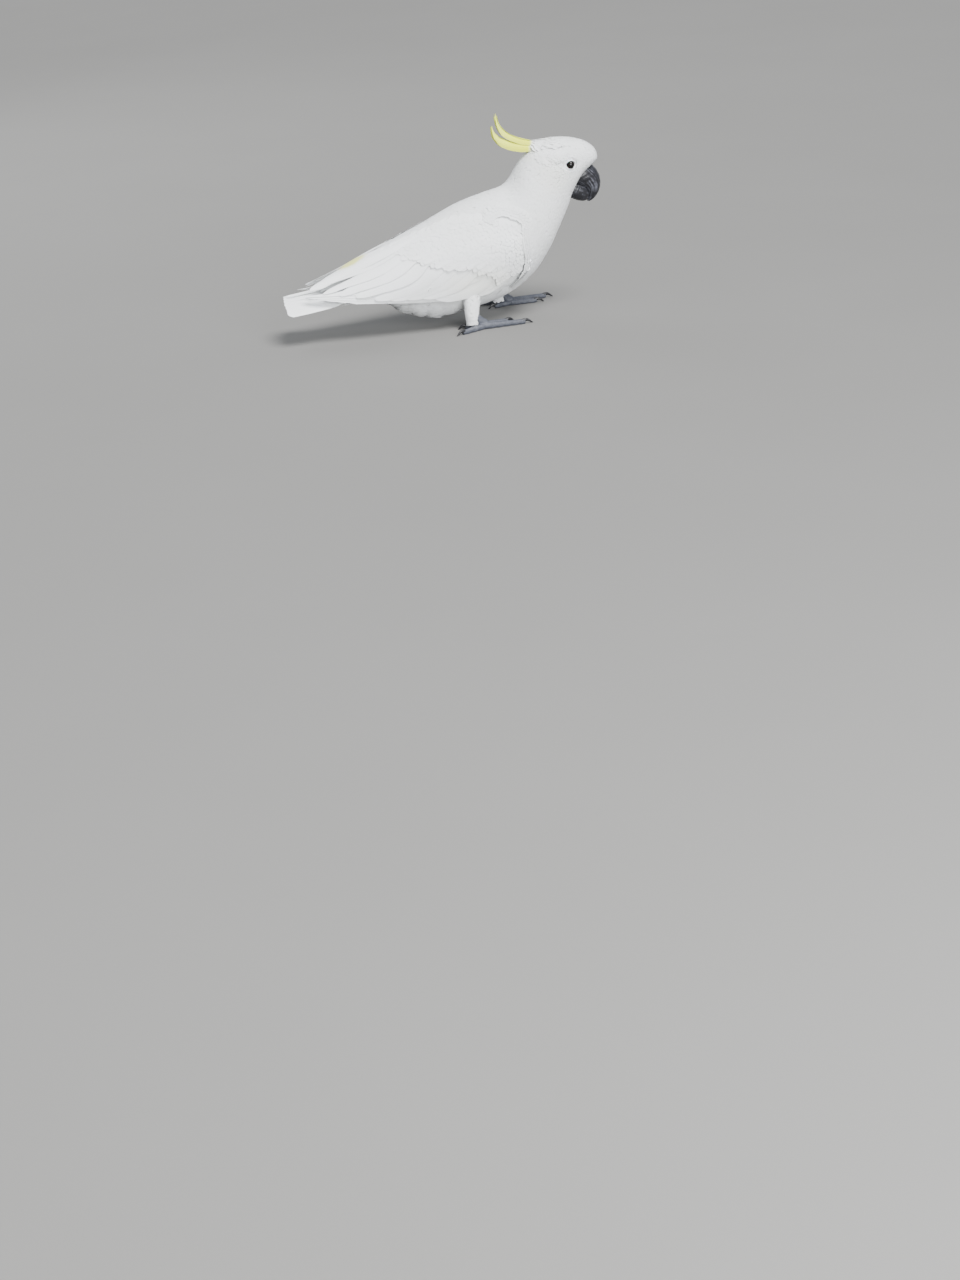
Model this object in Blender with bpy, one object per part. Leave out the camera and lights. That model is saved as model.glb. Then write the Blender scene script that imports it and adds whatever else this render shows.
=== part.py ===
"""Sulphur-crested cockatoo in mid-stride: a still, life-size model.

Metres, +Z up, +X towards the bill, +Y towards the bird's left side.
The origin is on the floor, under the middle of the bird's length.
The outer shape is that of the living bird with its plumage, out to the feather tips.
"""

import math

import bmesh
import bpy
from mathutils import Vector

# ---------------------------------------------------------------- driving sizes
GAP = 0.0003  # clear space between touching pieces
BODY_AROUND = 24  # points round a section of the body
BODY_ALONG = 36  # sections from rump to forehead
SHARP_ANGLE = math.radians(50)  # a crease sharper than this stays crisp

# Sections of the body: a point on the back, a point on the belly side, the half width,
# and how full the section is (2 is an ellipse, more is boxier).
BODY_SECTIONS = (
    ((-0.136, 0.0770), (-0.128, 0.0580), 0.013, 2.0),  # root of the tail
    ((-0.098, 0.1030), (-0.090, 0.0440), 0.025, 2.1),  # rump
    ((-0.060, 0.1205), (-0.048, 0.0240), 0.036, 2.1),  # vent
    ((-0.020, 0.1365), (-0.008, 0.0150), 0.044, 2.1),  # hips
    ((0.026, 0.1560), (0.040, 0.0190), 0.0480, 2.1),  # belly
    ((0.064, 0.1660), (0.084, 0.0310), 0.0480, 2.1),  # keel
    ((0.087, 0.1715), (0.120, 0.0530), 0.0460, 2.0),  # breast
    ((0.098, 0.1800), (0.144, 0.0820), 0.0420, 2.0),  # crop
    ((0.106, 0.1920), (0.158, 0.1060), 0.0375, 2.0),  # neck
    ((0.115, 0.2040), (0.1685, 0.1250), 0.0335, 2.0),  # nape
    ((0.129, 0.2160), (0.1750, 0.1385), 0.0310, 2.1),  # hind head
    ((0.148, 0.2235), (0.1775, 0.1480), 0.0300, 2.2),  # cheek
    ((0.170, 0.2258), (0.1810, 0.1560), 0.0290, 2.2),  # crown
    ((0.189, 0.2228), (0.1850, 0.1640), 0.0265, 2.2),  # brow
    ((0.2035, 0.2155), (0.1900, 0.1720), 0.0230, 2.1),  # forehead
    ((0.2130, 0.2060), (0.1975, 0.1795), 0.0180, 2.0),  # feathers over the bill
    ((0.2160, 0.1950), (0.2060, 0.1860), 0.0100, 2.0),  # edge of the forehead
)

# Thin cuts that part the body: a point on each cut, and the direction towards the head.
HEAD_CUT = ((0.1400, 0.1800), (0.86, 0.51))
NECK_CUT = ((0.1180, 0.1420), (0.62, 0.78))
BREAST_CUT = ((0.0450, 0.0900), (1.0, 0.06))
RUMP_CUT = ((-0.0560, 0.0800), (1.0, 0.10))
TAIL_CUT = ((-0.1230, 0.0700), (1.0, 0.10))

# Sections of a folded wing: upper edge (x, out, z), lower edge (x, out, z), bulge, thickness.
WING_SECTIONS = (
    ((0.0985, 0.0425, 0.1210), (0.1030, 0.0430, 0.0850), 0.0045, 0.0065),
    ((0.0920, 0.0425, 0.1305), (0.1020, 0.0460, 0.0740), 0.0085, 0.0080),
    ((0.0640, 0.0380, 0.1410), (0.0760, 0.0465, 0.0580), 0.0130, 0.0085),
    ((0.0260, 0.0320, 0.1445), (0.0400, 0.0465, 0.0405), 0.0150, 0.0085),
    ((-0.0150, 0.0265, 0.1335), (-0.0030, 0.0465, 0.0390), 0.0140, 0.0080),
    ((-0.0560, 0.0205, 0.1185), (-0.0450, 0.0450, 0.0440), 0.0115, 0.0070),
    ((-0.1000, 0.0150, 0.1005), (-0.0930, 0.0420, 0.0500), 0.0085, 0.0055),
    ((-0.1400, 0.0115, 0.0835), (-0.1350, 0.0380, 0.0550), 0.0055, 0.0040),
    ((-0.1720, 0.0125, 0.0715), (-0.1700, 0.0320, 0.0585), 0.0030, 0.0028),
    ((-0.1910, 0.0170, 0.0665), (-0.1905, 0.0245, 0.0625), 0.0006, 0.0018),
)
WING_ALONG = 22
WING_ACROSS = 9
WING_EDGE_DEPTH = 0.30  # thickness at a wing's edges, as a part of that in its middle
WINGTIP_CUT = ((-0.0760, 0.0800), (1.0, 0.10))  # where the long flight feathers leave the wing

# Upper and lower bill: front or upper point, rear or lower point, half width.
UPPER_BILL = (
    ((0.2050, 0.1895), (0.1800, 0.1690), 0.0105),
    ((0.2115, 0.1835), (0.1830, 0.1650), 0.0120),
    ((0.2172, 0.1755), (0.1890, 0.1612), 0.0118),
    ((0.2202, 0.1665), (0.1950, 0.1582), 0.0106),
    ((0.2202, 0.1580), (0.1992, 0.1550), 0.0088),
    ((0.2178, 0.1500), (0.2020, 0.1505), 0.0066),
    ((0.2138, 0.1440), (0.2035, 0.1457), 0.0044),
    ((0.2088, 0.1397), (0.2030, 0.1417), 0.0024),
    ((0.2045, 0.1380), (0.2020, 0.1390), 0.0009),
)
LOWER_BILL = (
    ((0.1835, 0.1680), (0.1730, 0.1520), 0.0096),
    ((0.1900, 0.1655), (0.1788, 0.1462), 0.0108),
    ((0.1965, 0.1625), (0.1870, 0.1418), 0.0102),
    ((0.2010, 0.1590), (0.1955, 0.1396), 0.0086),
    ((0.2040, 0.1530), (0.2010, 0.1402), 0.0060),
)

BILL_AROUND = 12
UPPER_BILL_ALONG = 15
UPPER_BILL_FULLNESS = 2.1  # 2 is an ellipse, more is boxier
LOWER_BILL_ALONG = 7
LOWER_BILL_FULLNESS = 2.3

EYE = (0.1732, 0.0245, 0.1940)  # centre of the left eyeball
EYE_RADIUS = 0.0063

# Crest feathers: root (x, z), two pull points, tip, side of the crown, width in the middle.
CREST_FEATHERS = (
    ((0.1400, 0.2175), (0.1100, 0.2270), (0.0840, 0.2370), (0.0854, 0.2643), 0.0008, 0.0070),
    ((0.1380, 0.2130), (0.1080, 0.2180), (0.0790, 0.2270), (0.0778, 0.2492), 0.0024, 0.0070),
    ((0.1360, 0.2130), (0.1120, 0.2175), (0.0920, 0.2210), (0.0830, 0.2370), 0.0040, 0.0062),
)
CREST_THICKNESS = 0.0011
CREST_ALONG = 8
CREST_ROOT_WIDTH = 0.55  # as a part of the width in the middle
CREST_WIDEST = 1.3  # more brings the widest place nearer the root
CREST_TIP_WIDTH = 0.25
CREST_TIP_TAPER = 4.5  # more makes the point shorter
CURVE_STEP = 0.02  # how far apart two places on a curve are read for its direction

# Tail fan: middle line, half width, how far the edges drop, thickness.
TAIL_SECTIONS = (
    ((-0.1180, 0.0745), 0.0200, 0.0070, 0.0080),
    ((-0.1450, 0.0700), 0.0275, 0.0110, 0.0060),
    ((-0.1750, 0.0660), 0.0330, 0.0120, 0.0045),
    ((-0.2000, 0.0635), 0.0355, 0.0108, 0.0036),
    ((-0.2130, 0.0622), 0.0360, 0.0095, 0.0030),
)
TAIL_ACROSS = 8
TAIL_ALONG = 8
TAIL_SWING = math.radians(3.5)  # the fan points a little to the bird's left
TAIL_TILT = math.radians(7.5)  # and its right side hangs lower
TAIL_END_CORNER = 0.0030  # how far the middle of the tail's end stands behind its corners
TAIL_END_SLANT = 0.0070  # how much further back the right corner reaches than the middle
TAIL_ROOF_POWER = 1.6  # 1 is a straight roof, 2 a round one
TAIL_EDGE_DEPTH = 0.5  # how much of its thickness the fan loses at its edges

# Feet: where the ball of each foot stands, and each toe's root, length and heading.
FOOT_BALLS = {"right": (0.0395, -0.0480), "left": (0.1030, 0.0530)}
FOOT_TURN = {"right": 2.0, "left": -5.0}  # degrees inwards
TOES = (  # name, root (ahead, outwards) from the ball, length, degrees outwards, radius
    ("inner_front", (0.0030, -0.0050), 0.0310, -9.0, 0.0043),
    ("outer_front", (0.0030, 0.0048), 0.0480, 2.0, 0.0046),
    ("outer_hind", (-0.0040, 0.0052), 0.0320, 157.0, 0.0043),
    ("inner_hind", (-0.0040, -0.0046), 0.0200, 188.0, 0.0040),
)
TOE_ALONG = 6
TOE_AROUND = 7
TOE_TAPER = 0.26  # how much of its radius a toe loses from root to end
TOE_PADS = 2.5  # swollen pads along a toe
TOE_PAD_SWELLING = 0.08  # as a part of the radius
TOE_END = 0.72  # the last ring, as a part of its radius
TOE_HEIGHT = 0.80  # of a toe's middle line over the floor, as a part of its radius
TOE_SINKING = 0.19  # how much of that height it loses towards the claw
CLAW_LENGTH = {"inner_front": 0.012, "outer_front": 0.014, "outer_hind": 0.013, "inner_hind": 0.011}
CLAW_RADIUS = 0.0024
CLAW_ALONG = 4
CLAW_AROUND = 6
CLAW_OVERLAP = 0.0006  # how far a claw starts inside its toe
CLAW_LIFT = 0.0008  # how far its root stands over the toe's middle line
CLAW_ARCH = 0.0024
CLAW_ARCH_AHEAD = 1.15  # more brings the top of the arch nearer the toe
CLAW_FALL = 0.8  # less keeps the claw high for longer
CLAW_TAPER = 0.75
CLAW_POINT = 0.0004  # radius of its tip, and the height of the tip's middle
TARSUS_RADIUS = 0.0052
TARSUS_AROUND = 8
TARSUS_PATH = (  # distance ahead of the ball, height, radius
    (0.0040, TARSUS_RADIUS * 0.80, 0.0042),
    (0.0, TARSUS_RADIUS * 0.90, 0.0058),
    (-0.0040, TARSUS_RADIUS * 1.30, 0.0056),
    (-0.0085, 0.0140, 0.0050),
)
HEEL_RADIUS = 0.0052
HEEL_BACK = 0.0150  # the heel stands this far behind the ball
HEEL_HEIGHT = 0.0270
SHANK_RINGS = (  # height, distance ahead of the heel, distance out as a part of the foot's, radius
    (0.0085, -0.0010, 1.00, 0.0062),
    (0.0115, -0.0010, 1.00, 0.0090),
    (0.0180, -0.0008, 0.98, 0.0120),
    (0.0290, 0.0005, 0.90, 0.0155),
    (0.0430, 0.0030, 0.76, 0.0185),
    (0.0570, 0.0065, 0.62, 0.0190),
    (0.0700, 0.0100, 0.50, 0.0155),
    (0.0770, 0.0120, 0.44, 0.0080),
)
SHANK_FLATNESS = 0.85  # across, as a part of its depth
SHANK_AROUND = 12

COLOURS = {
    "body_plumage": ((0.86, 0.86, 0.83), 0.75),
    "loose_plumage": ((0.86, 0.86, 0.83), 0.8),
    "flight_feathers": ((0.84, 0.85, 0.84), 0.7),
    "yellow_plumage": ((0.87, 0.83, 0.25), 0.7),
    "bill_horn": ((0.045, 0.045, 0.05), 0.35),
    "claw_horn": ((0.02, 0.02, 0.022), 0.35),
    "foot_skin": ((0.13, 0.14, 0.16), 0.7),
    "eye_glass": ((0.006, 0.005, 0.005), 0.05),
}


# ---------------------------------------------------------------- helpers
def clear_scene():
    for item in list(bpy.data.objects):
        bpy.data.objects.remove(item, do_unlink=True)


def make_material(name):
    colour, roughness = COLOURS[name]
    material = bpy.data.materials.get(name) or bpy.data.materials.new(name)
    material.use_nodes = True
    shader = material.node_tree.nodes["Principled BSDF"]
    shader.inputs["Base Color"].default_value = (*colour, 1.0)
    shader.inputs["Roughness"].default_value = roughness
    return material


def blend_rows(rows, count):
    """A smooth curve through rows of numbers, read at count even steps (Catmull-Rom)."""
    last = len(rows) - 1
    result = []
    for step in range(count):
        place = step * last / (count - 1)
        start = min(int(place), last - 1)
        t = place - start
        near = [rows[min(max(start + shift, 0), last)] for shift in (-1, 0, 1, 2)]
        row = []
        for a, b, c, d in zip(*near):
            bend = (2 * a - 5 * b + 4 * c - d) * t * t + (3 * b - 3 * c + d - a) * t**3
            row.append(0.5 * (2 * b + (c - a) * t + bend))
        result.append(row)
    return result


def flatten(section):
    """One row of numbers out of a section's nested tuples."""
    row = []
    for item in section:
        if isinstance(item, tuple):
            row.extend(item)
        else:
            row.append(item)
    return row


def round_power(value, power):
    return math.copysign(abs(value) ** power, value)


def ring(upper, lower, half_width, fullness, around):
    """A closed section between two points of the XZ plane, as a superellipse."""
    middle = ((upper[0] + lower[0]) / 2, (upper[1] + lower[1]) / 2)
    half = ((upper[0] - lower[0]) / 2, (upper[1] - lower[1]) / 2)
    points = []
    for step in range(around):
        angle = 2 * math.pi * step / around
        rise = round_power(math.cos(angle), 2 / fullness)
        out = round_power(math.sin(angle), 2 / fullness) * half_width
        points.append(Vector((middle[0] + half[0] * rise, out, middle[1] + half[1] * rise)))
    return points


def mesh_from_rings(name, rings):
    """One closed skin over a row of rings, with a flat lid at each end."""
    mesh = bpy.data.meshes.new(name)
    bm = bmesh.new()
    loops = [[bm.verts.new(point) for point in points] for points in rings]
    count = len(loops[0])
    for first, second in zip(loops, loops[1:]):
        for index in range(count):
            following = (index + 1) % count
            bm.faces.new((first[index], first[following], second[following], second[index]))
    bm.faces.new(loops[0])
    bm.faces.new(loops[-1])
    bmesh.ops.recalc_face_normals(bm, faces=bm.faces)
    bm.to_mesh(mesh)
    bm.free()
    return mesh


def add_object(name, mesh, material):
    item = bpy.data.objects.new(name, mesh)
    bpy.context.scene.collection.objects.link(item)
    mesh.materials.append(make_material(material))
    mesh.shade_smooth()
    mesh.set_sharp_from_angle(angle=SHARP_ANGLE)
    return item


def cut_mesh(mesh, point, direction, keep_ahead):
    """Cuts a closed mesh by a plane square to the XZ plane, and closes it again."""
    normal = Vector((direction[0], 0.0, direction[1])).normalized()
    place = Vector((point[0], 0.0, point[1]))
    place = place + normal * (GAP / 2 if keep_ahead else -GAP / 2)
    bm = bmesh.new()
    bm.from_mesh(mesh)
    geometry = list(bm.verts) + list(bm.edges) + list(bm.faces)
    bmesh.ops.bisect_plane(
        bm,
        geom=geometry,
        dist=1e-6,
        plane_co=place,
        plane_no=normal,
        clear_outer=not keep_ahead,
        clear_inner=keep_ahead,
    )
    rim = [edge for edge in bm.edges if edge.is_boundary]
    bmesh.ops.contextual_create(bm, geom=rim)
    bmesh.ops.recalc_face_normals(bm, faces=bm.faces)
    bm.to_mesh(mesh)
    bm.free()


def swell(mesh, amount):
    """Moves every point of a closed mesh outwards by amount."""
    bm = bmesh.new()
    bm.from_mesh(mesh)
    bm.normal_update()
    shifts = [vertex.normal * amount for vertex in bm.verts]
    for vertex, shift in zip(bm.verts, shifts):
        vertex.co += shift
    bm.to_mesh(mesh)
    bm.free()


def make_cutter(name, mesh):
    """A helper solid, a gap larger than a piece, that clears room for it in its neighbours."""
    larger = mesh.copy()
    swell(larger, GAP)
    cutter = bpy.data.objects.new(name, larger)
    bpy.context.scene.collection.objects.link(cutter)
    cutter.hide_render = True
    cutter.display_type = "WIRE"
    return cutter


def clear_room(item, cutters):
    for cutter in cutters:
        modifier = item.modifiers.new("room_for_" + cutter.name, "BOOLEAN")
        modifier.operation = "DIFFERENCE"
        modifier.solver = "EXACT"
        modifier.object = cutter


def mirrored(rings):
    return [[Vector((p.x, -p.y, p.z)) for p in points] for points in rings]


# ---------------------------------------------------------------- body
def body_rings():
    rows = blend_rows([flatten(section) for section in BODY_SECTIONS], BODY_ALONG)
    rings = []
    for back_x, back_z, belly_x, belly_z, half_width, fullness in rows:
        rings.append(ring((back_x, back_z), (belly_x, belly_z), half_width, fullness, BODY_AROUND))
    return rings


def body_piece(name, rings, rear_cut, front_cut, material="body_plumage"):
    """A length of the body between two thin cuts."""
    mesh = mesh_from_rings(name, rings)
    if rear_cut:
        cut_mesh(mesh, *rear_cut, keep_ahead=True)
    if front_cut:
        cut_mesh(mesh, *front_cut, keep_ahead=False)
    return add_object(name, mesh, material)


# ---------------------------------------------------------------- wings
def wing_rings():
    """Sections of the left wing: an outward bow on the outside, the same bow inside it."""
    rings = []
    for row in blend_rows([flatten(section) for section in WING_SECTIONS], WING_ALONG):
        upper = Vector(row[0:3])
        lower = Vector(row[3:6])
        bulge, thickness = row[6:8]
        along = (lower - upper).normalized()
        outward = Vector((0.0, 1.0, 0.0))
        outward = (outward - along * along.dot(outward)).normalized()
        outer = []
        inner = []
        for step in range(WING_ACROSS + 1):
            t = step / WING_ACROSS
            bow = math.sin(math.pi * t)
            place = upper.lerp(lower, t) + outward * (bulge * bow)
            depth = thickness * (WING_EDGE_DEPTH + (1 - WING_EDGE_DEPTH) * bow**0.5)
            outer.append(place)
            inner.append(place - outward * depth)
        rings.append(outer + inner[::-1])
    return rings


def wing_pieces(side):
    rings = wing_rings()
    if side == "right":
        rings = mirrored(rings)
    whole = mesh_from_rings("whole_wing_" + side, rings)
    arm = whole.copy()
    cut_mesh(arm, *WINGTIP_CUT, keep_ahead=True)
    tip = whole.copy()
    cut_mesh(tip, *WINGTIP_CUT, keep_ahead=False)
    add_object("wing_" + side, arm, "flight_feathers")
    add_object("wing_tip_" + side, tip, "flight_feathers")
    return make_cutter("wing_room_" + side, whole)


# ---------------------------------------------------------------- tail
def make_tail(cutters):
    """A shallow roof of long feathers, wider and thinner towards its end."""
    root_x = TAIL_SECTIONS[0][0][0]
    length = root_x - TAIL_SECTIONS[-1][0][0]
    rings = []
    for x, z, half_width, drop, thickness in blend_rows(
        [flatten(section) for section in TAIL_SECTIONS], TAIL_ALONG
    ):
        reach = (root_x - x) / length
        upper = []
        lower = []
        for step in range(TAIL_ACROSS + 1):
            across = 2 * step / TAIL_ACROSS - 1
            corner = TAIL_END_CORNER * across * across + TAIL_END_SLANT * across
            arm = x - root_x + corner * reach**3
            out = across * half_width
            top = z - drop * abs(across) ** TAIL_ROOF_POWER + out * math.tan(TAIL_TILT) * reach
            bottom = top - thickness * (1 - TAIL_EDGE_DEPTH * across**2)
            place_x = root_x + arm * math.cos(TAIL_SWING) + out * math.sin(TAIL_SWING)
            place_y = out * math.cos(TAIL_SWING) - arm * math.sin(TAIL_SWING)
            upper.append(Vector((place_x, place_y, top)))
            lower.append(Vector((place_x, place_y, bottom)))
        rings.append(upper + lower[::-1])
    mesh = mesh_from_rings("tail", rings)
    cut_mesh(mesh, *TAIL_CUT, keep_ahead=False)
    clear_room(add_object("tail", mesh, "flight_feathers"), cutters)


# ---------------------------------------------------------------- head parts
def bill_rings(sections, count, fullness):
    rings = []
    for front_x, front_z, rear_x, rear_z, half_width in blend_rows(
        [flatten(section) for section in sections], count
    ):
        rings.append(ring((front_x, front_z), (rear_x, rear_z), half_width, fullness, BILL_AROUND))
    return rings


def make_bill():
    upper_rings = bill_rings(UPPER_BILL, UPPER_BILL_ALONG, UPPER_BILL_FULLNESS)
    lower_rings = bill_rings(LOWER_BILL, LOWER_BILL_ALONG, LOWER_BILL_FULLNESS)
    upper_mesh = mesh_from_rings("upper_bill", upper_rings)
    lower_mesh = mesh_from_rings("lower_bill", lower_rings)
    add_object("upper_bill", upper_mesh, "bill_horn")
    lower = add_object("lower_bill", lower_mesh, "bill_horn")
    upper_room = make_cutter("upper_bill_room", upper_mesh)
    lower_room = make_cutter("lower_bill_room", lower_mesh)
    clear_room(lower, [upper_room])
    return [upper_room, lower_room]


def make_eye(side):
    sign = 1.0 if side == "left" else -1.0
    bm = bmesh.new()
    bmesh.ops.create_icosphere(bm, subdivisions=2, radius=EYE_RADIUS)
    bmesh.ops.translate(bm, vec=(EYE[0], EYE[1] * sign, EYE[2]), verts=bm.verts)
    mesh = bpy.data.meshes.new("eye_" + side)
    bm.to_mesh(mesh)
    bm.free()
    add_object("eye_" + side, mesh, "eye_glass")
    return make_cutter("eye_room_" + side, mesh)


def bezier(points, t):
    """A point on a cubic curve pulled by four points."""
    a, b, c, d = points
    s = 1 - t
    return a * s**3 + b * 3 * s * s * t + c * 3 * s * t * t + d * t**3


def crest_rings(points, out, width):
    """Six-sided sections of one crest feather, from its root to its tip."""
    thick = Vector((0.0, CREST_THICKNESS / 2, 0.0))
    rings = []
    for step in range(CREST_ALONG + 1):
        t = step / CREST_ALONG
        place = bezier(points, t)
        ahead = bezier(points, min(t + CURVE_STEP, 1.0)) - bezier(points, max(t - CURVE_STEP, 0.0))
        ahead.normalize()
        across = Vector((ahead.z, 0.0, -ahead.x))
        swelling = (1 - CREST_ROOT_WIDTH) * math.sin(math.pi * min(t * CREST_WIDEST, 1.0))
        half = 0.5 * width * (CREST_ROOT_WIDTH + swelling)
        half *= min(1.0, CREST_TIP_WIDTH + CREST_TIP_TAPER * (1 - t))
        centre = place + Vector((0.0, out, 0.0))
        wide = across * half
        corners = [wide, wide * 0.5 + thick, wide * -0.5 + thick]
        rings.append([centre + corner for corner in corners] + [centre - corner for corner in corners])
    return rings


def make_crest():
    """Long narrow crest feathers, in pairs from the middle of the crown outwards."""
    cutters = []
    for pair, (root, pull, bend, tip, side, width) in enumerate(CREST_FEATHERS, 1):
        for label, sign in (("left", 1.0), ("right", -1.0)):
            name = f"crest_feather_{pair}_{label}"
            points = [Vector((p[0], 0.0, p[1])) for p in (root, pull, bend, tip)]
            mesh = mesh_from_rings(name, crest_rings(points, sign * side, width))
            add_object(name, mesh, "yellow_plumage")
            cutters.append(make_cutter(name + "_room", mesh))
    return cutters


# ---------------------------------------------------------------- legs and feet
def tube_rings(points, radii, around):
    """Rings square to a path, squashed flat where they would pass below the floor."""
    rings = []
    last = len(points) - 1
    for index, (point, radius) in enumerate(zip(points, radii)):
        ahead = points[min(index + 1, last)] - points[max(index - 1, 0)]
        ahead.normalize()
        side = ahead.cross(Vector((0.0, 0.0, 1.0)))
        if side.length < 1e-3:
            side = Vector((0.0, 1.0, 0.0))
        side.normalize()
        up = side.cross(ahead)
        loop = []
        for step in range(around):
            angle = 2 * math.pi * (step + 0.5) / around - math.pi / 2
            place = point + side * (radius * math.cos(angle)) + up * (radius * math.sin(angle))
            place.z = max(place.z, 0.0)
            loop.append(place)
        rings.append(loop)
    return rings


def toe_place(foot, root, length, outward, radius, along):
    """A point on a toe's middle line: along runs from 0 at its root to 1 at the claw."""
    sign = 1.0 if foot == "left" else -1.0
    heading = math.radians(sign * (outward - FOOT_TURN[foot]))
    reach = length * along
    height = radius * (TOE_HEIGHT - TOE_SINKING * along)
    x = FOOT_BALLS[foot][0] + root[0] + reach * math.cos(heading)
    y = FOOT_BALLS[foot][1] + sign * root[1] + reach * math.sin(heading)
    return Vector((x, y, height))


def make_toe(foot, name, root, length, outward, radius):
    """A toe with swollen pads under its joints, and its claw."""
    points = []
    radii = []
    for step in range(TOE_ALONG + 1):
        along = step / TOE_ALONG
        points.append(toe_place(foot, root, length, outward, radius, along))
        swelling = TOE_PAD_SWELLING * math.cos(2 * math.pi * TOE_PADS * along)
        radii.append(radius * (1.0 - TOE_TAPER * along + swelling))
    radii[-1] *= TOE_END
    mesh = mesh_from_rings("toe", tube_rings(points, radii, TOE_AROUND))
    add_object(f"toe_{name}_{foot}", mesh, "foot_skin")
    room = make_cutter(f"toe_room_{name}_{foot}", mesh)
    clear_room(make_claw(foot, name, points), [room])
    return room


def make_claw(foot, name, toe_points):
    """A claw that arches over from the toe's end and comes down to the floor."""
    length = CLAW_LENGTH[name]
    ahead = toe_points[-1] - toe_points[-3]
    ahead.z = 0.0
    ahead.normalize()
    root = toe_points[-1] - ahead * CLAW_OVERLAP + Vector((0.0, 0.0, CLAW_LIFT))
    points = []
    radii = []
    for step in range(CLAW_ALONG + 1):
        t = step / CLAW_ALONG
        rise = CLAW_ARCH * math.sin(math.pi * min(t * CLAW_ARCH_AHEAD, 1.0))
        height = root.z * (1 - t) ** CLAW_FALL + rise + CLAW_POINT * t
        points.append(Vector((root.x + ahead.x * length * t, root.y + ahead.y * length * t, height)))
        radii.append(CLAW_RADIUS * (1 - t) ** CLAW_TAPER + CLAW_POINT)
    mesh = mesh_from_rings("claw", tube_rings(points, radii, CLAW_AROUND))
    return add_object(f"claw_{name}_{foot}", mesh, "claw_horn")


def shank_rings(ball, heel):
    """Level sections of the feathered shank, leaning in from the heel to the belly."""
    rings = []
    for height, ahead, outwards, radius in SHANK_RINGS:
        loop = []
        for step in range(SHANK_AROUND):
            angle = 2 * math.pi * step / SHANK_AROUND
            place_x = heel.x + ahead + radius * math.cos(angle)
            place_y = ball[1] * outwards + SHANK_FLATNESS * radius * math.sin(angle)
            loop.append(Vector((place_x, place_y, height)))
        rings.append(loop)
    return rings


def make_foot(foot, wing_rooms):
    """The ball of the foot with its tarsus, four toes and the feathered shank above."""
    ball = FOOT_BALLS[foot]
    heel = Vector((ball[0] - HEEL_BACK, ball[1], HEEL_HEIGHT))
    path = [Vector((ball[0] + ahead, ball[1], height)) for ahead, height, _ in TARSUS_PATH]
    radii = [radius for _, _, radius in TARSUS_PATH]
    mesh = mesh_from_rings(
        "tarsus", tube_rings(path + [heel], radii + [HEEL_RADIUS], TARSUS_AROUND)
    )
    tarsus = add_object("tarsus_" + foot, mesh, "foot_skin")
    toe_rooms = [make_toe(foot, *toe) for toe in TOES]
    clear_room(tarsus, toe_rooms)
    tarsus_room = make_cutter("tarsus_room_" + foot, mesh)
    shank_mesh = mesh_from_rings("shank_" + foot, shank_rings(ball, heel))
    shank = add_object("shank_" + foot, shank_mesh, "body_plumage")
    clear_room(shank, [tarsus_room] + toe_rooms + wing_rooms)
    return make_cutter("shank_room_" + foot, shank_mesh)


# ---------------------------------------------------------------- assembly
def build():
    clear_scene()
    rings = body_rings()
    wing_rooms = [wing_pieces("left"), wing_pieces("right")]
    shank_rooms = [make_foot("left", wing_rooms), make_foot("right", wing_rooms)]
    bill_rooms = make_bill()
    eye_rooms = [make_eye("left"), make_eye("right")]
    crest_rooms = make_crest()
    clear_room(body_piece("rump", rings, TAIL_CUT, RUMP_CUT, "loose_plumage"), wing_rooms)
    clear_room(body_piece("trunk", rings, RUMP_CUT, BREAST_CUT), wing_rooms + shank_rooms)
    clear_room(body_piece("breast", rings, BREAST_CUT, NECK_CUT), wing_rooms + shank_rooms)
    clear_room(body_piece("neck", rings, NECK_CUT, HEAD_CUT), crest_rooms)
    head = body_piece("head", rings, HEAD_CUT, None)
    clear_room(head, bill_rooms + eye_rooms + crest_rooms)
    make_tail(wing_rooms)


build()
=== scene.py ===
# %% [markdown]
# # A sulphur-crested cockatoo in mid-stride
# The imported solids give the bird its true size, outline and pose. This lesson lays the looks
# over them: one skin under the plumage, thousands of small body feathers, the long feathers of
# wings, tail and crest, a horny bill, wet eyes and scaly feet. All sizes are in metres, with
# +X towards the bill, +Y towards the bird's left and +Z up.

# %% Load the frame
import math

import bmesh
import bpy
import numpy as np
from mathutils import Matrix, Vector
from mathutils.bvhtree import BVHTree
from mathutils.kdtree import KDTree


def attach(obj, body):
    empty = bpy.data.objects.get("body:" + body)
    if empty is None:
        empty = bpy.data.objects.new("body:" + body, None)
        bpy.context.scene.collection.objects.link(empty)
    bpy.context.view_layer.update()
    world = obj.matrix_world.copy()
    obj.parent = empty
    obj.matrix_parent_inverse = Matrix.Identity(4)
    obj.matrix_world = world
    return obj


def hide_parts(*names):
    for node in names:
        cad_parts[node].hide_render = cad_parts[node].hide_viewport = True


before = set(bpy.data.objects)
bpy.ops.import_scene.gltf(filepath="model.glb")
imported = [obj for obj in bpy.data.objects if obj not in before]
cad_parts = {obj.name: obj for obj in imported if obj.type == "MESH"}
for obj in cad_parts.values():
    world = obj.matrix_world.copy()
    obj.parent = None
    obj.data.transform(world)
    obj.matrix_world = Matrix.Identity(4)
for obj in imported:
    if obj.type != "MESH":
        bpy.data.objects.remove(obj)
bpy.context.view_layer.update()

rng = np.random.default_rng(7)


# %% [markdown]
# ## Small tools
# Operators act on whatever is selected, so a helper deselects all and picks one object. The
# feathers are arrays of points, so another helper turns arrays into a mesh in one go, which is
# far quicker than adding faces one at a time.

# %% Helpers
def pick(*objects):
    """Leaves only these objects selected, the first of them active."""
    if bpy.context.mode != "OBJECT":
        bpy.ops.object.mode_set(mode="OBJECT")
    bpy.ops.object.select_all(action="DESELECT")
    for item in objects:
        item.select_set(True)
    bpy.context.view_layer.objects.active = objects[0]


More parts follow.
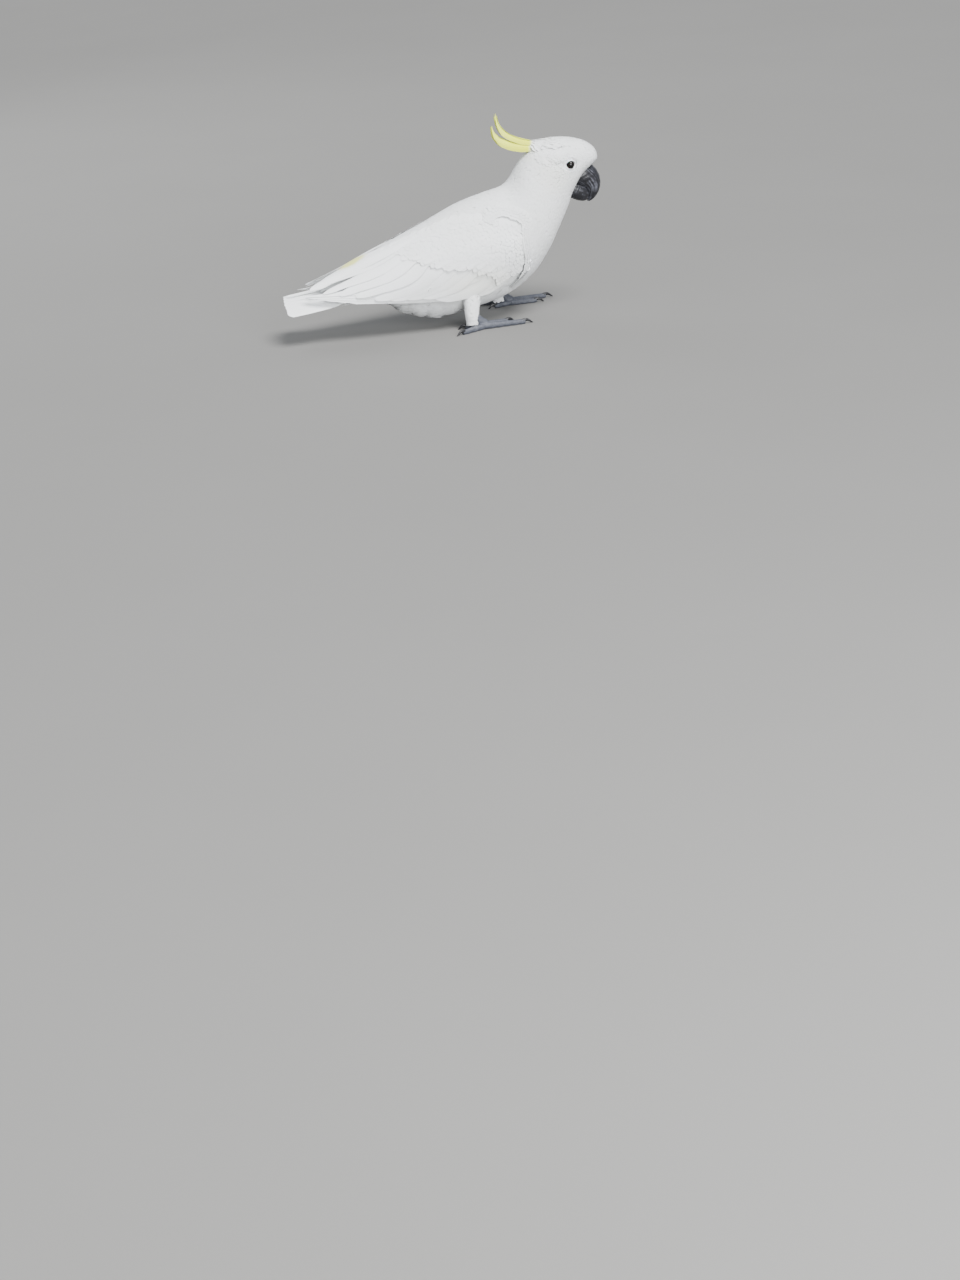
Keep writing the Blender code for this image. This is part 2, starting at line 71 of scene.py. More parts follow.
def apply_modifier(item, kind, **settings):
    pick(item)
    modifier = item.modifiers.new(kind.title(), kind)
    for key, value in settings.items():
        setattr(modifier, key, value)
    bpy.ops.object.modifier_apply(modifier=modifier.name)


def object_from_arrays(name, points, loops, totals):
    """points (N, 3), the corner indices of all faces in a row, and each face's corner count."""
    mesh = bpy.data.meshes.new(name)
    mesh.vertices.add(len(points))
    mesh.vertices.foreach_set("co", np.asarray(points, np.float32).ravel())
    mesh.loops.add(len(loops))
    mesh.loops.foreach_set("vertex_index", np.asarray(loops, np.int32))
    mesh.polygons.add(len(totals))
    starts = np.concatenate([[0], np.cumsum(totals)[:-1]])
    mesh.polygons.foreach_set("loop_start", starts.astype(np.int32))
    mesh.polygons.foreach_set("loop_total", np.asarray(totals, np.int32))
    mesh.polygons.foreach_set("use_smooth", np.ones(len(totals), bool))
    mesh.update(calc_edges=True)
    mesh.validate()
    item = bpy.data.objects.new(name, mesh)
    bpy.context.scene.collection.objects.link(item)
    return item


def curve_through(rows, count):
    """A smooth curve through rows of numbers, read at count even steps (Catmull-Rom)."""
    rows = np.asarray(rows, float)
    last = len(rows) - 1
    place = np.linspace(0, last, count)
    start = np.minimum(place.astype(int), last - 1)
    t = (place - start)[:, None]
    a, b, c, d = (rows[np.clip(start + shift, 0, last)] for shift in (-1, 0, 1, 2))
    bend = (2 * a - 5 * b + 4 * c - d) * t**2 + (3 * b - 3 * c + d - a) * t**3
    return 0.5 * (2 * b + (c - a) * t + bend)


def ring_quads(count, around):
    """Corner indices of the four-sided faces between neighbouring rings."""
    index = np.arange(count * around).reshape(count, around)
    following = np.roll(index, -1, axis=1)
    return np.stack([index[:-1], following[:-1], following[1:], index[1:]], axis=-1).reshape(-1, 4)


def loft(name, rings):
    """One closed shape over rings (count, around, 3), with a lid at each end."""
    count, around = rings.shape[:2]
    index = np.arange(count * around).reshape(count, around)
    quads = ring_quads(count, around)
    loops = np.concatenate([quads.ravel(), index[0][::-1], index[-1]])
    totals = np.concatenate([np.full(len(quads), 4), [around, around]])
    item = object_from_arrays(name, rings.reshape(-1, 3), loops, totals)
    # The rings may run either way round, so the faces are turned outwards here.
    bm = bmesh.new()
    bm.from_mesh(item.data)
    bmesh.ops.recalc_face_normals(bm, faces=bm.faces)
    bm.to_mesh(item.data)
    bm.free()
    return item


def read_values(items, name, width, kind=np.float32):
    """This attribute of all the items, width numbers from each."""
    values = np.empty(len(items) * width, kind)
    items.foreach_get(name, values)
    return values.reshape(-1, width)


def read_points(mesh):
    """The places of a mesh's points, and the normals there."""
    points, normals = (read_values(mesh.vertices, name, 3) for name in ("co", "normal"))
    return points.astype(float), normals.astype(float)


def write_points(mesh, points):
    mesh.vertices.foreach_set("co", points.astype(np.float32).ravel())
    mesh.update()


def smooth_step(low, high, value):
    """0 at low, 1 at high and a soft S between them."""
    t = np.clip((np.asarray(value, float) - low) / (high - low), 0, 1)
    return t * t * (3 - 2 * t)


def unit(vectors):
    return vectors / np.maximum(np.linalg.norm(vectors, axis=-1, keepdims=True), 1e-9)


# %% [markdown]
# ## Camera, light and floor
# The camera looks down at the bird from its right side and a little from behind, with a slight
# roll. A long lens keeps the proportions natural. A wide even light comes from above, as under a
# bright cloudy sky, a soft lamp fills the near side, a weaker one lifts the far edge, and the
# floor is plain and pale.

# %% Camera
CAMERA_PLACE = np.array([-0.7015, -2.909, 0.791])
CAMERA_HEADING = math.radians(76.15)  # from +X towards +Y
CAMERA_PITCH = math.radians(22.61)  # downwards
CAMERA_ROLL = math.radians(3.98)
LENS, SENSOR_WIDTH = 65.35, 36.0  # millimetres
NEAR_LIMIT = 0.05
level_ahead = np.array([math.cos(CAMERA_HEADING), math.sin(CAMERA_HEADING), 0.0])
ahead = level_ahead * math.cos(CAMERA_PITCH) - [0.0, 0.0, math.sin(CAMERA_PITCH)]
level_right = np.array([math.sin(CAMERA_HEADING), -math.cos(CAMERA_HEADING), 0.0])
level_up = np.cross(level_right, ahead)
right = level_right * math.cos(CAMERA_ROLL) - level_up * math.sin(CAMERA_ROLL)
up = level_up * math.cos(CAMERA_ROLL) + level_right * math.sin(CAMERA_ROLL)
camera_data = bpy.data.cameras.new("Camera")
camera_data.lens = LENS
camera_data.sensor_width = SENSOR_WIDTH
camera_data.clip_start = NEAR_LIMIT
camera = bpy.data.objects.new("Camera", camera_data)
bpy.context.scene.collection.objects.link(camera)
turn = np.eye(4)
turn[:3, 0], turn[:3, 1], turn[:3, 2], turn[:3, 3] = right, up, -ahead, CAMERA_PLACE
camera.matrix_world = Matrix(turn.tolist())
bpy.context.scene.camera = camera
print("camera at", CAMERA_PLACE)


# %% Lights and floor
COOL_WHITE = (0.97, 0.985, 1.0)
SKY_WHITE = (0.95, 0.98, 1.0)
SKY_COLOUR, SKY_STRENGTH = (0.80, 0.85, 0.92, 1), 0.66
FLOOR_SIZE = 160


def add_light(name, kind, place, target, **settings):
    """A light that hangs at place and shines towards target."""
    data = bpy.data.lights.new(name, kind)
    for key, value in settings.items():
        setattr(data, key, value)
    item = bpy.data.objects.new(name, data)
    item.location = place
    item.rotation_euler = (Vector(target) - Vector(place)).to_track_quat("-Z", "Y").to_euler()
    bpy.context.scene.collection.objects.link(item)


def soft_light(name, place, target, size, power, colour):
    add_light(name, "AREA", place, target, shape="DISK", size=size, energy=power, color=colour)


spread = math.radians(30)
add_light("overhead_light", "SUN", (0, 0, 0), (-0.25, 0.50, -1.0), energy=6.6, angle=spread)
soft_light("fill_light", (0.4, -2.6, 0.8), (0.03, 0.0, 0.10), size=1.8, power=102, colour=COOL_WHITE)
soft_light("back_light", (-0.6, 1.8, 1.4), (0.0, 0.0, 0.12), size=1.4, power=18, colour=SKY_WHITE)

world = bpy.data.worlds.new("Studio")
bpy.context.scene.world = world
world.use_nodes = True
world.node_tree.nodes["Background"].inputs["Color"].default_value = SKY_COLOUR
world.node_tree.nodes["Background"].inputs["Strength"].default_value = SKY_STRENGTH

bpy.ops.mesh.primitive_plane_add(size=FLOOR_SIZE, location=(0, 0, 0))
floor = bpy.context.object
floor.name = "studio_floor"


# %% [markdown]
# ## Materials
# White plumage is never one flat white. It is cooler where it is thick and clean, creamier on the
# cheeks and low on the wings, and faintly yellow where the lemon feathers under the wings shine
# through. Skin and coat take their colour from the same nodes, which read Object coordinates, so
# the markings run on unbroken from one to the other.


# %% Node helpers
def new_material(name):
    """A material, its shader, and a place on the object as an output for other nodes to read."""
    material = bpy.data.materials.new(name)
    material.use_nodes = True
    nodes = material.node_tree.nodes
    coordinates = nodes.new("ShaderNodeTexCoord")
    return material, nodes["Principled BSDF"], coordinates.outputs["Object"]


def feed(socket, value):
    """Gives an input a value, or joins it to another node's output."""
    if isinstance(value, bpy.types.NodeSocket):
        socket.id_data.links.new(value, socket)
    else:
        socket.default_value = value


def set_inputs(node, **inputs):
    for key, value in inputs.items():
        feed(node.inputs[key.replace("_", " ")], value)


def add_node(beside, kind, **inputs):
    """A new node in the same material as this node or output."""
    node = beside.id_data.nodes.new(kind)
    set_inputs(node, **inputs)
    return node


def noise(vector, scale, detail, roughness=0.55):
    node = add_node(vector, "ShaderNodeTexNoise", Vector=vector, Scale=scale)
    set_inputs(node, Detail=detail, Roughness=roughness)
    return node.outputs["Fac"]


def math_node(operation, first, second=None):
    node = add_node(first, "ShaderNodeMath")
    node.operation = operation
    feed(node.inputs[0], first)
    if second is not None:
        feed(node.inputs[1], second)
    return node.outputs["Value"]


def span(value, low, high, to_low=0.0, to_high=1.0):
    """A soft step of a value: to_low up to low, to_high from high on."""
    limits = {"From_Min": low, "From_Max": high, "To_Min": to_low, "To_Max": to_high}
    node = add_node(value, "ShaderNodeMapRange", Value=value, **limits)
    node.interpolation_type = "SMOOTHSTEP"
    return node.outputs["Result"]


def blend_colour(factor, first, second):
    node = add_node(factor, "ShaderNodeMix", Factor=factor)
    node.data_type = "RGBA"
    colours = [socket for socket in node.inputs if socket.type == "RGBA"]
    for socket, value in zip(colours, (first, second)):
        feed(socket, (*value, 1) if isinstance(value, tuple) else value)
    return [socket for socket in node.outputs if socket.type == "RGBA"][0]


def map_coordinates(beside, name):
    node = add_node(beside, "ShaderNodeUVMap")
    node.uv_map = name
    return node.outputs["UV"]


def parts_of(vector):
    node = add_node(vector, "ShaderNodeSeparateXYZ", Vector=vector)
    return node.outputs["X"], node.outputs["Y"], node.outputs["Z"]


def folded_coordinates(vector):
    """Brings both sides of the bird together, so that a marking is made once for both."""
    x, y, z = parts_of(vector)
    node = add_node(x, "ShaderNodeCombineXYZ", X=x, Y=math_node("ABSOLUTE", y), Z=z)
    return node.outputs["Vector"]


def add_bump(shader, height, strength, distance):
    """Bends the light on a surface as if it rose and fell by this height."""
    bump = add_node(shader, "ShaderNodeBump", Height=height, Strength=strength, Distance=distance)
    set_inputs(shader, Normal=bump.outputs["Normal"])


def distance_to(vector, place, stretch=(1, 1, 1)):
    """How far a point is from a place, measured in a stretched space."""
    back = [-p * s for p, s in zip(place, stretch)]
    mapping = add_node(vector, "ShaderNodeMapping", Vector=vector, Scale=stretch, Location=back)
    length = add_node(vector, "ShaderNodeVectorMath")
    length.operation = "LENGTH"
    feed(length.inputs[0], mapping.outputs["Vector"])
    return length.outputs["Value"]


# %% Plumage colours
CLEAN_WHITE = (0.845, 0.855, 0.860)
CLOUDED_WHITE = (0.825, 0.835, 0.825)
SOFT_CREAM = (0.835, 0.835, 0.775)
LEMON_TINT = (0.700, 0.700, 0.170)
CREAM_PLACES = (  # middle, how far it is stretched along each axis, amount of cream
    ((0.150, 0.030, 0.182), (1, 0.8, 1), 0.55),  # cheek
    ((0.035, 0.055, 0.060), (0.5, 0.6, 1.25), 0.75),  # low on the wing
)
CREAM_CORE, CREAM_EDGE = 0.008, 0.034
LEMON_PLACE, LEMON_STRETCH = (-0.117, 0.0, 0.0960), (0.45, 1.2, 1.3)
LEMON_CORE, LEMON_EDGE, LEMON_AMOUNT = 0.010, 0.020, 0.90
LEMON_WANDER = 0.006  # how ragged the lemon patch's edge is


def plumage_colour(vector):
    """White with a creamy cheek and lower wing, and a lemon tint between the folded wings."""
    folded = folded_coordinates(vector)
    cloudy = span(noise(vector, 38, 3), 0.35, 0.7)
    colour = blend_colour(cloudy, CLEAN_WHITE, CLOUDED_WHITE)
    for place, stretch, amount in CREAM_PLACES:
        reach = distance_to(folded, place, stretch)
        share = span(reach, CREAM_CORE, CREAM_EDGE, amount, 0.0)
        colour = blend_colour(share, colour, SOFT_CREAM)
    reach = distance_to(folded, LEMON_PLACE, LEMON_STRETCH)
    wander = math_node("MULTIPLY", noise(vector, 120, 2), LEMON_WANDER)
    reach = math_node("ADD", reach, wander)
    share = span(reach, LEMON_CORE, LEMON_EDGE, LEMON_AMOUNT, 0.0)
    return blend_colour(share, colour, LEMON_TINT)


# %% [markdown]
# ## The feather finish
# A feather's vane is made of barbs, fine parallel threads that leave the shaft at a slant. Each
# blade has its own map named Vane, with the shaft up its middle, so one pattern of slanted stripes
# that is mirrored at the shaft gives the barbs. They only bend the light a little.

# %% Feather material
BARB_SLANT = 0.10  # how far a barb climbs from the shaft to the edge
BARB_RELIEF = 0.5  # of the barbs, where the shaft's is the material's own
BARB_GLOSS = 0.06  # how much rougher the troughs between barbs are than their crests
SHAFT_CORE, SHAFT_EDGE = 0.012, 0.045  # parts of the vane's width


def feather_material(name, barbs_along, barb_depth, rachis, colour_maker, roughness=0.72, soft=0.18):
    """barbs_along is the number of barbs to one unit of the Vane map, rachis the shaft's height."""
    material, shader, vector = new_material(name)
    across, along, _ = parts_of(map_coordinates(vector, "Vane"))
    from_shaft = math_node("ABSOLUTE", math_node("SUBTRACT", across, 0.5))
    slant = math_node("MULTIPLY", from_shaft, BARB_SLANT)
    slanted = math_node("SUBTRACT", along, slant)
    wander = math_node("MULTIPLY", noise(vector, 240, 2), 0.012)
    slanted = math_node("ADD", slanted, wander)
    barbs = math_node("SINE", math_node("MULTIPLY", slanted, barbs_along * 2 * math.pi))
    shaft = span(from_shaft, SHAFT_CORE, SHAFT_EDGE, 1.0, 0.0)
    barb_relief = math_node("MULTIPLY", barbs, BARB_RELIEF)
    relief = math_node("ADD", barb_relief, math_node("MULTIPLY", shaft, rachis))
    add_bump(shader, relief, 0.35, barb_depth)
    colour = colour_maker(vector, along, from_shaft)
    gloss = span(barbs, -1, 1, roughness + BARB_GLOSS, roughness - BARB_GLOSS)
    set_inputs(shader, Base_Color=colour, Roughness=gloss, Specular_IOR_Level=0.28)
    set_inputs(shader, Sheen_Weight=0.12, Sheen_Roughness=0.5, Subsurface_Weight=soft)
    set_inputs(shader, Subsurface_Radius=(1.0, 0.95, 0.85), Subsurface_Scale=0.0025)
    return material


def white_vane(vector, _along, _from_shaft):
    return plumage_colour(vector)


DEEP_LEMON, PALE_LEMON = (0.72, 0.77, 0.035), (0.76, 0.83, 0.10)
EDGE_LEMON, CLOUD_LEMON = (0.80, 0.85, 0.17), (0.72, 0.75, 0.045)
WHITE_ROOT = (0.08, 0.145)  # where white gives way to lemon, in units of the Vane map


def yellow_vane(vector, along, from_shaft):
    """White at the root, then lemon, and paler towards the tip and along the thin edges."""
    colour = blend_colour(span(along, 0.20, 0.70), DEEP_LEMON, PALE_LEMON)
    edges = span(from_shaft, 0.25, 0.5, 0.0, 0.45)
    colour = blend_colour(edges, colour, EDGE_LEMON)
    clouds = span(noise(vector, 160, 3), 0.35, 0.7, 0.0, 0.35)
    colour = blend_colour(clouds, colour, CLOUD_LEMON)
    return blend_colour(span(along, *WHITE_ROOT), plumage_colour(vector), colour)


LONG_VANE = {"roughness": 0.62, "soft": 0.10}  # long feathers are glossier and let less light in
down_finish = feather_material("body_feathers", 130, 0.00010, 0.6, white_vane)
vane_finish = feather_material("long_feathers", 150, 0.00008, 3.0, white_vane, **LONG_VANE)
crest_finish = feather_material("crest_feathers", 150, 0.00010, 2.0, yellow_vane, **LONG_VANE)


# %% Skin, horn, eye and floor materials
LID_PLACE = (0.1732, 0.0290, 0.1940)  # middle of the left eye's opening
LID_RIM = (0.0050, 0.0058)  # where the dark inner rim gives way to pale skin
LID_REACH = (0.0078, 0.0092)  # where the pale skin gives way to plumage
PALE_SKIN, CREASED_SKIN, DARK_RIM = (0.80, 0.81, 0.82), (0.70, 0.72, 0.74), (0.16, 0.15, 0.15)


def skin_material():
    """White under the plumage, pale and finely creased round the eye."""
    material, shader, vector = new_material("plumage_skin")
    colour = plumage_colour(vector)
    lid = distance_to(folded_coordinates(vector), LID_PLACE)
    pale = blend_colour(noise(vector, 700, 2), PALE_SKIN, CREASED_SKIN)
    rim = blend_colour(span(lid, *LID_RIM), DARK_RIM, pale)
    colour = blend_colour(span(lid, *LID_REACH, 1.0, 0.0), colour, rim)
    set_inputs(shader, Base_Color=colour, Roughness=0.62)
    set_inputs(shader, Subsurface_Weight=0.15, Subsurface_Scale=0.002)
    add_bump(shader, noise(vector, 1500, 3), 0.3, 0.0002)
    return material


CREASE_GREY, DUST_GREY = (0.040, 0.043, 0.054), (0.135, 0.140, 0.156)
DEEP_SLATE, PALE_SLATE = (0.034, 0.038, 0.050), (0.078, 0.084, 0.106)


def foot_material():
    """Slate-grey skin of small plates, darker in the creases and dusty on top."""
    material, shader, vector = new_material("scaly_foot_skin")
    cells = add_node(vector, "ShaderNodeTexVoronoi", Vector=vector, Scale=640.0)
    cells.feature = "DISTANCE_TO_EDGE"
    normal = add_node(vector, "ShaderNodeNewGeometry").outputs["Normal"]
    beside = span(parts_of(normal)[2], 0.35, 0.75, 0.0, 0.75)
    crease = math_node("MAXIMUM", span(cells.outputs["Distance"], 0.0, 0.12), beside)
    tone = blend_colour(noise(vector, 180, 4), DEEP_SLATE, PALE_SLATE)
    colour = blend_colour(crease, CREASE_GREY, tone)
    dust = span(noise(vector, 90, 4), 0.52, 0.75, 0.0, 0.5)
    colour = blend_colour(dust, colour, DUST_GREY)
    set_inputs(shader, Base_Color=colour, Roughness=span(crease, 0, 1, 0.8, 0.55))
    add_bump(shader, crease, 0.35, 0.0002)
    return material


POWDER_ROUGHNESS = 0.32  # how much rougher powdered horn is than clean horn


def horn_material(name, dark, bloom, amount, roughness, across):
    """Dark horn with streaks of pale powder that follow its growth, and fine flaking.

    across is how many times finer the streaks are round the horn than along it.
    """
    material, shader, vector = new_material(name)
    growth = map_coordinates(vector, "Growth")
    mapping = add_node(vector, "ShaderNodeMapping", Vector=growth, Scale=(across, 1.1, 1.0))
    grain = mapping.outputs["Vector"]
    streaks = noise(grain, 2.6, 5, 0.62)
    patches = noise(vector, 85, 4)
    streaks_clear, patches_clear = span(streaks, 0.46, 0.66), span(patches, 0.40, 0.62)
    powder = math_node("MULTIPLY", streaks_clear, patches_clear)
    colour = blend_colour(math_node("MULTIPLY", powder, amount), dark, bloom)
    fine = noise(grain, 14, 4, 0.6)
    colour = blend_colour(span(fine, 0.4, 0.9, 0.0, 0.12), colour, bloom)
    dull = span(powder, 0, 1, roughness, roughness + POWDER_ROUGHNESS)
    set_inputs(shader, Base_Color=colour, Roughness=dull, Specular_IOR_Level=0.32)
    set_inputs(shader, Coat_Weight=0.10, Coat_Roughness=0.25)
    relief = math_node("ADD", streaks, math_node("MULTIPLY", fine, 0.4))
    add_bump(shader, relief, 0.35, 0.00025)
    return material


PUPIL_PLACE = (0.1732, 0.0300, 0.1940)
PUPIL_BLACK, IRIS_RIM = (0.002, 0.002, 0.002), (0.004, 0.003, 0.003)
IRIS_DARK, IRIS_WARM = (0.004, 0.003, 0.002), (0.010, 0.006, 0.004)
PUPIL_EDGE, IRIS_EDGE = (0.0021, 0.0025), (0.0040, 0.0048)


def eye_material():
    """A near-black iris round a black pupil, under a wet surface."""
    material, shader, vector = new_material("wet_eye")
    reach = distance_to(folded_coordinates(vector), PUPIL_PLACE, stretch=(1, 0, 1))
    iris = blend_colour(noise(vector, 900, 3), IRIS_DARK, IRIS_WARM)
    colour = blend_colour(span(reach, *PUPIL_EDGE), PUPIL_BLACK, iris)
    colour = blend_colour(span(reach, *IRIS_EDGE), colour, IRIS_RIM)
    set_inputs(shader, Base_Color=colour, Roughness=0.07, Specular_IOR_Level=0.30)
    return material


FLOOR_DARK, FLOOR_PALE = (0.154, 0.151, 0.144), (0.167, 0.164, 0.157)


def floor_material():
    material, shader, vector = new_material("pale_floor")
    colour = blend_colour(noise(vector, 3, 4), FLOOR_DARK, FLOOR_PALE)
    set_inputs(shader, Base_Color=colour, Roughness=0.85)
    return material


BLACK_HORN, CLAW_HORN = (0.010, 0.010, 0.012), (0.012, 0.012, 0.013)
UPPER_POWDER, LOWER_POWDER = (0.125, 0.128, 0.155), (0.110, 0.113, 0.138)
CLAW_POWDER = (0.10, 0.10, 0.11)
skin_finish = skin_material()
foot_finish = foot_material()
bill_finish = horn_material("bill_horn", BLACK_HORN, UPPER_POWDER, 0.85, 0.32, 9.0)
lower_finish = horn_material("lower_bill_horn", BLACK_HORN, LOWER_POWDER, 0.55, 0.34, 3.0)
claw_finish = horn_material("claw_horn", CLAW_HORN, CLAW_POWDER, 0.4, 0.32, 4.0)
eye_finish = eye_material()
floor.data.materials.append(floor_material())


# %% [markdown]
# ## The body under the feathers
# The flesh of the bird is one form. Sections from rump to forehead, each a soft oval between a
# point on the back and a point on the belly, carry the whole posture: the horizontal walk, the
# deep breast and the neck that lifts the head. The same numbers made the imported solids.

# %% Body sections
BODY_SECTIONS = (  # back (x, z), belly (x, z), half width, fullness
    (-0.136, 0.0770, -0.128, 0.0580, 0.0130, 2.0),
    (-0.098, 0.1030, -0.090, 0.0440, 0.0250, 2.1),
    (-0.060, 0.1205, -0.048, 0.0240, 0.0360, 2.1),
    (-0.020, 0.1365, -0.008, 0.0150, 0.0440, 2.1),
    (0.026, 0.1560, 0.040, 0.0190, 0.0480, 2.1),
    (0.064, 0.1660, 0.084, 0.0310, 0.0480, 2.1),
    (0.087, 0.1715, 0.120, 0.0530, 0.0460, 2.0),
    (0.098, 0.1800, 0.144, 0.0820, 0.0420, 2.0),
    (0.106, 0.1920, 0.158, 0.1060, 0.0375, 2.0),
    (0.115, 0.2040, 0.1685, 0.1250, 0.0335, 2.0),
    (0.129, 0.2160, 0.1750, 0.1385, 0.0310, 2.1),
    (0.148, 0.2235, 0.1775, 0.1480, 0.0300, 2.2),
    (0.170, 0.2258, 0.1810, 0.1560, 0.0290, 2.2),
    (0.189, 0.2228, 0.1850, 0.1640, 0.0265, 2.2),
    (0.2045, 0.2163, 0.1900, 0.1720, 0.0230, 2.1),
    (0.2148, 0.2068, 0.1975, 0.1795, 0.0182, 2.0),
    (0.2182, 0.1955, 0.2070, 0.1865, 0.0105, 2.0),
)
BODY_AROUND, BODY_ALONG = 72, 130


def oval_rings(rows, around):
    """Superellipse rings between an upper and a lower point of the XZ plane."""
    angle = np.linspace(0, 2 * math.pi, around, endpoint=False)
    power = 2 / rows[:, 5:6]
    rise = np.sign(np.cos(angle)) * np.abs(np.cos(angle)) ** power
    out = np.sign(np.sin(angle)) * np.abs(np.sin(angle)) ** power * rows[:, 4:5]
    middle = (rows[:, 0:2] + rows[:, 2:4]) / 2
    half = (rows[:, 0:2] - rows[:, 2:4]) / 2
    x = middle[:, :1] + half[:, :1] * rise
    z = middle[:, 1:] + half[:, 1:] * rise
    return np.stack([x, out, z], axis=-1)


body_rings = oval_rings(curve_through(BODY_SECTIONS, BODY_ALONG), BODY_AROUND)
body = loft("plumage_skin", body_rings)
print("body rings", body_rings.shape)


# %% [markdown]
# ## The folded wings
# Each wing lies on the body as a shallow curved shield, from the wrist in front of the breast
# back to the tips of the long feathers beside the tail. One function gives any place on it: s
# runs from the wrist to the tip, t from the upper edge over the back to the lower edge.

# %% Wing surface
WING_SECTIONS = (  # upper (x, y, z), lower (x, y, z), bulge, thickness
    (0.0985, 0.0425, 0.1210, 0.1030, 0.0430, 0.0850, 0.0045, 0.0065),
    (0.0920, 0.0425, 0.1305, 0.1020, 0.0460, 0.0740, 0.0085, 0.0080),
    (0.0640, 0.0380, 0.1410, 0.0760, 0.0465, 0.0580, 0.0130, 0.0085),
    (0.0260, 0.0320, 0.1445, 0.0400, 0.0465, 0.0405, 0.0150, 0.0085),
    (-0.0150, 0.0265, 0.1335, -0.0030, 0.0465, 0.0390, 0.0140, 0.0080),
    (-0.0560, 0.0205, 0.1185, -0.0450, 0.0450, 0.0440, 0.0115, 0.0070),
    (-0.1000, 0.0150, 0.1005, -0.0930, 0.0420, 0.0500, 0.0085, 0.0055),
    (-0.1400, 0.0115, 0.0835, -0.1350, 0.0380, 0.0550, 0.0055, 0.0040),
    (-0.1720, 0.0125, 0.0715, -0.1700, 0.0320, 0.0585, 0.0030, 0.0028),
    (-0.1910, 0.0170, 0.0665, -0.1905, 0.0245, 0.0625, 0.0006, 0.0018),
)
WING_ALONG, WING_ACROSS = 90, 24


def wing_grid(rows, t):
    """The wing's outer face as a grid (along, across, 3), and the direction out of each section."""
    upper, lower = rows[:, None, 0:3], rows[:, None, 3:6]
    chord = unit(lower - upper)
    outward = unit(np.array([0.0, 1.0, 0.0]) - chord * chord[..., 1:2])
    arch = np.sin(math.pi * t)[None, :, None]
    return upper + (lower - upper) * t[None, :, None] + outward * rows[:, None, 6:7] * arch, outward


body_quads = ring_quads(BODY_ALONG, BODY_AROUND)
body_outline = BVHTree.FromPolygons(body_rings.reshape(-1, 3).tolist(), body_quads.tolist())
EDGE_STANDS, FRONT_STANDS = 0.0010, 0.0006  # how far the wing's edges stand off the body
EDGE_REACH, FRONT_REACH = (0.40, 0.02), (0.10, 0.0)  # parts of t and of s over which it settles
REAR_REACH = (-0.132, -0.080)  # the upper edge comes free of the back over this length
CLOSE = 0.0015  # nearer to the body than this, its normal says which way is out


def settle(face, s, t):
    """Lets the wing's upper edge down onto the back, and its front edge onto the breast."""
    upper = smooth_step(*EDGE_REACH, t)[None, :] * smooth_step(*REAR_REACH, face[:, :1, 0])
    front = np.broadcast_to(smooth_step(*FRONT_REACH, s)[:, None], upper.shape)
    settled = face.copy()
    for row, column in np.argwhere(np.maximum(upper, front) > 0.001):
        place = Vector(face[row, column])
        nearest, normal, _, _ = body_outline.find_nearest(place)
        if (place - nearest).dot(normal) < 0 and normal.y < 0:
            normal = -normal
        away = (place - nearest).normalized() if (place - nearest).length > CLOSE else normal
        if away.y < 0:
            away = -away
        weight = max(upper[row, column], front[row, column])
        stands = EDGE_STANDS if upper[row, column] >= front[row, column] else FRONT_STANDS
        settled[row, column] = place.lerp(nearest + away * stands, weight)
    return settled


wing_s, wing_t = np.linspace(0, 1, WING_ALONG), np.linspace(0, 1, WING_ACROSS)
wing_rows = curve_through(WING_SECTIONS, WING_ALONG)
wing_face, wing_out = wing_grid(wing_rows, wing_t)
wing_face = settle(wing_face, wing_s, wing_t)


def mirror(points, side):
    """The left wing's points as they are, or the right wing's."""
    return points * np.array([1.0, 1.0 if side == "left" else -1.0, 1.0])


FLESH_LENGTH, FLESH_HEIGHT = 0.66, 0.86  # parts of the wing's face that flesh lies under
FLESH_EDGE = 0.30  # its thickness at the edges, as a part of that in the middle
LOWER_SUNK, UPPER_SUNK = 0.0030, 0.0010  # how deep its edges lie under the feathers


def wing_flesh(side):
    """The fleshy front part of a wing, which lies under the coverts."""
    last, lowest = int(WING_ALONG * FLESH_LENGTH), int(WING_ACROSS * FLESH_HEIGHT)
    t = np.linspace(0, 1, lowest)
    fullness = FLESH_EDGE + (1 - FLESH_EDGE) * np.sqrt(np.sin(math.pi * t))
    depth = wing_rows[:last, None, 7:8] * fullness[None, :, None]
    sunk = LOWER_SUNK * smooth_step(0.80, 1.0, t) + UPPER_SUNK * smooth_step(0.15, 0.0, t)
    outer = wing_face[:last, :lowest] - wing_out[:last] * sunk[None, :, None]
    inner = outer - wing_out[:last] * depth
    rings = np.concatenate([outer, inner[:, ::-1]], axis=1)
    return loft("wing_flesh_" + side, mirror(rings, side))


wings = [wing_flesh(side) for side in ("left", "right")]
print("wing grid", wing_face.shape)


# %% [markdown]
# ## Feathered legs and bare feet
# A cockatoo's leg is feathered almost to the foot. The shank is a soft cone that leaves the belly
# and narrows to a short bare tarsus. Each foot has two toes forward and two back, with round pads
# below and a row of plates on top.

